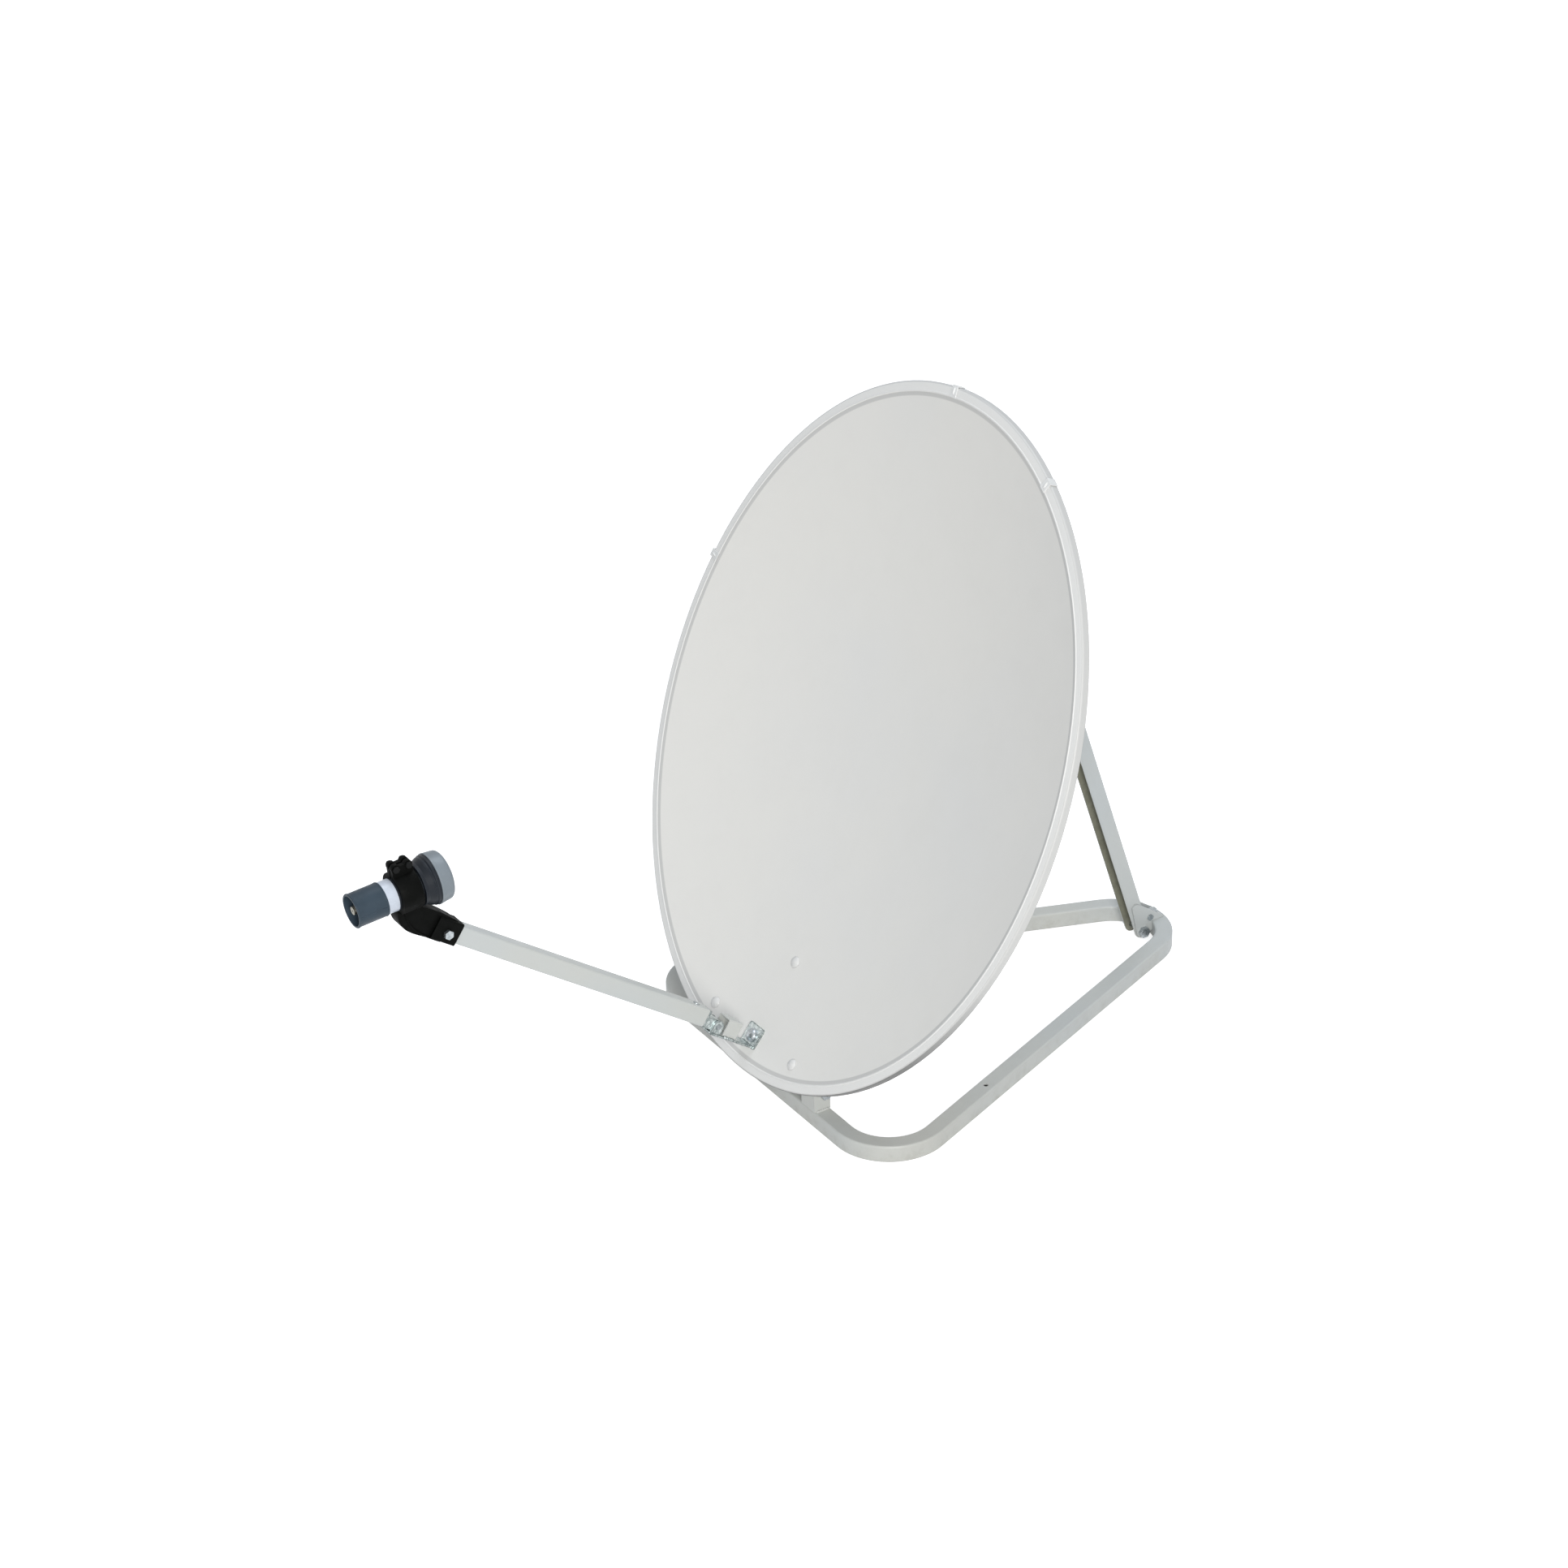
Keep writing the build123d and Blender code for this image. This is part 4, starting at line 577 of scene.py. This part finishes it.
# ---------------------------------------------------------------- rim clips: a rib on each
CLIP_TURNS = (95.0, 166.7, 63.0)  # degrees round the rim, from +X towards the top
CLIP_SPAN = (0.977, 0.998)  # shares of the way from the middle to the outline
CLIP_FRONT = -0.0016  # a depth, so it is in front of the rim plane
CLIP_RIB_RADII = [0.0005, 0.0011, 0.0013, 0.0013, 0.0013, 0.0011, 0.0005]
for number, clip_turn in enumerate(CLIP_TURNS):
    t = math.radians(clip_turn)
    ends = [
        dish_point(EDGE_X * share * math.cos(t), EDGE_V * share * math.sin(t), CLIP_FRONT)
        for share in CLIP_SPAN
    ]
    rib = swept(line(*ends, len(CLIP_RIB_RADII) - 1), CLIP_RIB_RADII)
    piece(f"rim_clip_rib_{number}", rib, "dish", "clip_white")

# ---------------------------------------------------------------- welds of the hinge posts
WELD_PROUD = 0.0006  # how far the bead's middle stands out from the post
WELD_SHORT = 0.002  # how far from each end of the post it stops
for side_name in ("left", "right"):
    low, high = (Vector(corner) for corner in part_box(f"hinge_post_{side_name}"))
    beads = []
    for x in (low.x - WELD_PROUD, high.x + WELD_PROUD):
        run = [Vector((x, y, low.z + WELD_PROUD)) for y in (low.y + WELD_SHORT, high.y - WELD_SHORT)]
        beads.append(weld(*run, steps=26, radius=0.0017))
    piece(f"post_weld_{side_name}", joined(beads), "base", "frame_paint")

# ---------------------------------------------------------------- welds of the ears and the clevis
EAR_WELD_X = 0.1057
EAR_WELD_DEPTH = 0.0047  # behind the bowl's face
EAR_WELD_RUNS = ((-0.364, -0.346), (0.25, 0.274))  # lower and upper bracket, as heights v
beads = []
for run in EAR_WELD_RUNS:
    for x in (-EAR_WELD_X, EAR_WELD_X):
        ends = [dish_point(x, v, bowl_depth(x, v) + EAR_WELD_DEPTH) for v in run]
        beads.append(weld(*ends, steps=24, radius=0.0016))
piece("bracket_welds", joined(beads), "dish", "frame_paint")

CLEVIS_WELD_X = 0.0108
CLEVIS_WELD_DEPTH = 0.092
CLEVIS_WELD_RUN = (0.3225, 0.3375)
beads = []
for x in (-CLEVIS_WELD_X, CLEVIS_WELD_X):
    ends = [dish_point(x, v, CLEVIS_WELD_DEPTH) for v in CLEVIS_WELD_RUN]
    beads.append(weld(*ends, steps=20, radius=0.0014))
piece("clevis_welds", joined(beads), "dish", "frame_paint")

# ---------------------------------------------------------------- threads of the pivot bolts
# They show past the nuts, on the inner side of the posts
POST_X = 0.12
NUT_FACE = 0.01895  # from the middle of the post
pivot = Vector(joints["dish_tilt"]["pos_m"])
threads = []
for side in (1, -1):
    start = Vector((side * (POST_X - NUT_FACE), pivot.y, pivot.z))
    inward = Vector((-side, 0, 0))
    threads.append(thread(start, inward, radius=0.004, length=0.0019, pitch=0.0009, depth=0.0002))
piece("frame_pivot_threads", joined(threads), "base", "zinc_hardware")

# ---------------------------------------------------------------- feed arm: tack welds of the stub
TACK_X = 0.0116
TACK_HEIGHT = -0.0136
TACK_RUN = (0.0265, 0.043)
tacks = []
for x in (-TACK_X, TACK_X):
    ends = [arm_point(along, TACK_HEIGHT, x) for along in TACK_RUN]
    tacks.append(weld(*ends, steps=20, radius=0.0012))
piece("stub_tacks", joined(tacks), "dish", "zinc_sheet")

# ---------------------------------------------------------------- low-noise block: moulded rings
# Places along its axis count from LNB, in the direction LOOK, which points at the dish
LNB = arm_point(0.5229, 0.0486)
LOOK = Vector(joints["lnb_skew"]["axis"])


def low_ring(along, radius, half, height):
    """Closed profile of a low rounded ring that stands on a radius, with its foot sunk in."""
    steps = 8
    sunk = 0.0006
    foot = radius - sunk
    profile = [(along - half, foot)]
    for k in range(steps + 1):
        t = math.pi * k / steps
        profile.append((along - half * math.cos(t), radius + height * math.sin(t)))
    profile.append((along + half, foot))
    return profile


def flat_ring(foot, shoulder, face, inner, outer, chamfer):
    """Closed profile of a flat ring with bevelled edges, which stands on the cap's front."""
    return [
        (shoulder, inner), (face, inner + chamfer), (face, outer - chamfer),
        (shoulder, outer), (foot, outer), (foot, inner),
    ]


def rings(name, slot, *profiles):
    """One piece of rings about the block's axis."""
    piece(name, joined([turned(profile, LNB, LOOK) for profile in profiles]), "lnb", slot)


rings("lnb_cap_lip", "lnb_cap_grey", low_ring(-0.0019, radius=0.02975, half=0.0009, height=0.00022))
rings(
    "lnb_cap_face_rings", "lnb_cap_grey",
    flat_ring(foot=0.0145, shoulder=0.01545, face=0.01615, inner=0.0165, outer=0.0183, chamfer=0.0004),
)
rings(
    "lnb_collar_rings", "lnb_collar_grey",
    low_ring(-0.0055, radius=0.0272, half=0.0007, height=0.0005),
    low_ring(-0.0098, radius=0.0272, half=0.0007, height=0.0005),
)
rings(
    "lnb_body_rings", "lnb_slate",
    low_ring(-0.0988, radius=0.0195, half=0.0011, height=0.0006),
    low_ring(-0.0642, radius=0.0195, half=0.0009, height=0.0004),
)

SEAM_X = 0.01945
SEAM_RUN = (-0.0972, -0.0655)
seams = []
for x in (-SEAM_X, SEAM_X):
    ends = [LNB + LOOK * along + Vector((x, 0, 0)) for along in SEAM_RUN]
    seams.append(even(line(*ends, 4), 0.00035, sides=6))
piece("lnb_body_seams", joined(seams), "lnb", "lnb_slate")

CONNECTOR_THREAD = -0.0976
connector = thread(
    LNB + LOOK * CONNECTOR_THREAD, LOOK, radius=0.00466, length=0.0096, pitch=0.00079, depth=0.00022
)
piece("f_connector_thread", connector, "lnb", "connector_plate")

# ---------------------------------------------------------------- holder: ribs along its neck
RIB_X = 0.0101
RIB_RADIUS = 0.0013
RIB_ROUTE = (
    # along the arm and above it: the control points of a smooth curve
    (0.4815, -0.0133), (0.4985, -0.0135), (0.517, -0.0125),
    (0.5345, -0.0045), (0.5475, 0.0105), (0.5555, 0.0215),
)


def smooth_path(controls):
    """Points of the NURBS curve that has these control points."""
    curve = bpy.data.curves.new("path", "CURVE")
    curve.dimensions = "3D"
    curve.resolution_u = 8
    spline = curve.splines.new("NURBS")
    spline.points.add(len(controls) - 1)
    for point, control in zip(spline.points, controls):
        point.co = (*control, 1)
    spline.order_u = 4
    spline.use_endpoint_u = True
    holder = bpy.data.objects.new("path", curve)
    mesh = bpy.data.meshes.new_from_object(holder)
    points = [vertex.co.copy() for vertex in mesh.vertices]
    bpy.data.objects.remove(holder)
    bpy.data.meshes.remove(mesh)
    bpy.data.curves.remove(curve)
    return points


ribs = []
for x in (-RIB_X, RIB_X):
    route = [arm_point(along, height, x) for along, height in RIB_ROUTE]
    ribs.append(even(smooth_path(route), RIB_RADIUS, sides=8))
piece("holder_ribs", joined(ribs), "feed_arm", "black_plastic")

# ---------------------------------------------------------------- softened edges of CAD pieces
# Width of the bevel: the nodes that take it
SOFT_EDGES = {
    0.0008: ("lnb_holder",),
    0.0006: ("strut_wing_nut",),
    0.0005: (
        "frame_pivot_bolts", "frame_pivot_nuts", "strut_pivot_bolt", "strut_pivot_nut",
        "strut_top_bolt", "strut_top_nut",
    ),
    0.0004: (
        "bracket_bolts", "bracket_nuts", "holder_bolt", "holder_nut", "foot_bracket_screw",
        "arm_hinge_pin",
    ),
    0.0003: ("rim_clips",),
}


def soften(node, width):
    """Bevel a node's sharp edges, after welding the points that its faces don't share."""
    merge = node.modifiers.new("weld", "WELD")
    merge.merge_threshold = 0.000002
    bevel = node.modifiers.new("bevel", "BEVEL")
    bevel.width = width
    bevel.segments = 2
    bevel.limit_method = "ANGLE"
    bevel.angle_limit = math.radians(38)
    bevel.harden_normals = True


for width, names in SOFT_EDGES.items():
    for name in names:
        soften(nodes[name], width)

# ---------------------------------------------------------------- camera
# It looks down at the front of the dish from the +X side: azimuth turns from -Y towards +X
CAMERA_PLACE = Vector((3.2044, -1.9498, 2.4432))
CAMERA_AZIMUTH = math.radians(58.1)
CAMERA_ELEVATION = math.radians(28.64)
CAMERA_ROLL = math.radians(-1.816)
camera = bpy.data.objects.new("camera", bpy.data.cameras.new("camera"))
scene.collection.objects.link(camera)
camera.matrix_world = (
    Matrix.Translation(CAMERA_PLACE)
    @ Matrix.Rotation(CAMERA_AZIMUTH, 4, "Z")
    @ Matrix.Rotation(math.pi / 2 - CAMERA_ELEVATION, 4, "X")
    @ Matrix.Rotation(CAMERA_ROLL, 4, "Z")
)
camera.data.lens = 85.72
camera.data.sensor_width = 36.0
camera.data.clip_end = 100
scene.camera = camera
scene.view_settings.view_transform = "Standard"


# ---------------------------------------------------------------- lamps
def area_lamp(name, place, target, size, power, colour):
    """Round soft lamp that looks at a target."""
    lamp = bpy.data.objects.new(name, bpy.data.lights.new(name, "AREA"))
    lamp.data.shape = "DISK"
    lamp.data.size = size
    lamp.data.energy = power
    lamp.data.color = colour
    lamp.location = place
    lamp.rotation_euler = (Vector(target) - Vector(place)).to_track_quat("-Z", "Y").to_euler()
    scene.collection.objects.link(lamp)


area_lamp(
    "key", place=(4.0, -1.9, 2.3), target=(0, 0.15, 0.4), size=1.8, power=172, colour=(1.0, 0.99, 0.97)
)
area_lamp(
    "top", place=(-0.8, 0.9, 4.2), target=(0, 0.2, 0.3), size=2.4, power=56, colour=(0.84, 0.91, 1.0)
)

# ---------------------------------------------------------------- world and floor
WORLD_LIGHT = (0.93, 0.96, 1.0, 1.0)
WORLD_STRENGTH = 0.42
WHITE = (1.0, 1.0, 1.0, 1.0)
FLOOR_TONE = (0.7, 0.7, 0.7, 1.0)
FLOOR_LIFT = 0.76
FLOOR_REACH = 14
FLOOR_Z = -0.0004


def seen_ray(tree):
    """1 for rays that show the background: camera, glossy and transmission rays."""
    path = tree.nodes.new("ShaderNodeLightPath")
    total = path.outputs["Is Camera Ray"]
    for other in ("Is Glossy Ray", "Is Transmission Ray"):
        add = tree.nodes.new("ShaderNodeMath")
        add.operation = "ADD"
        add.use_clamp = True
        tree.links.new(total, add.inputs[0])
        tree.links.new(path.outputs[other], add.inputs[1])
        total = add.outputs["Value"]
    return total


def background(tree, colour, strength):
    """Plain light from all sides."""
    new = tree.nodes.new("ShaderNodeBackground")
    new.inputs["Color"].default_value = colour
    new.inputs["Strength"].default_value = strength
    return new.outputs["Background"]


def studio_world():
    """Soft even light on the object, and a white background for the rays that show it."""
    world = bpy.data.worlds.new("studio")
    world.use_nodes = True
    tree = world.node_tree
    tree.nodes.clear()
    pick = tree.nodes.new("ShaderNodeMixShader")
    out = tree.nodes.new("ShaderNodeOutputWorld")
    tree.links.new(seen_ray(tree), pick.inputs["Fac"])
    tree.links.new(background(tree, WORLD_LIGHT, WORLD_STRENGTH), pick.inputs[1])
    tree.links.new(background(tree, WHITE, 1.0), pick.inputs[2])
    tree.links.new(pick.outputs["Shader"], out.inputs["Surface"])
    return world


def floor_material():
    """Matt pale floor, lifted towards white for the rays that show it, so it keeps the shadow."""
    material = bpy.data.materials.new("floor")
    material.use_nodes = True
    tree = material.node_tree
    tree.nodes.clear()
    matt = tree.nodes.new("ShaderNodeBsdfDiffuse")
    matt.inputs["Color"].default_value = FLOOR_TONE
    lift = tree.nodes.new("ShaderNodeMath")
    lift.operation = "MULTIPLY"
    lift.inputs[1].default_value = FLOOR_LIFT
    glow = tree.nodes.new("ShaderNodeEmission")
    both = tree.nodes.new("ShaderNodeAddShader")
    out = tree.nodes.new("ShaderNodeOutputMaterial")
    tree.links.new(seen_ray(tree), lift.inputs[0])
    tree.links.new(lift.outputs["Value"], glow.inputs["Strength"])
    tree.links.new(matt.outputs["BSDF"], both.inputs[0])
    tree.links.new(glow.outputs["Emission"], both.inputs[1])
    tree.links.new(both.outputs["Shader"], out.inputs["Surface"])
    return material


scene.world = studio_world()
floor_mesh = bpy.data.meshes.new("floor")
corners = [
    (side_x * FLOOR_REACH, side_y * FLOOR_REACH, FLOOR_Z)
    for side_x, side_y in ((-1, -1), (1, -1), (1, 1), (-1, 1))
]
floor_mesh.from_pydata(corners, [], [(0, 1, 2, 3)])
floor_mesh.materials.append(floor_material())
floor = bpy.data.objects.new("floor", floor_mesh)
scene.collection.objects.link(floor)
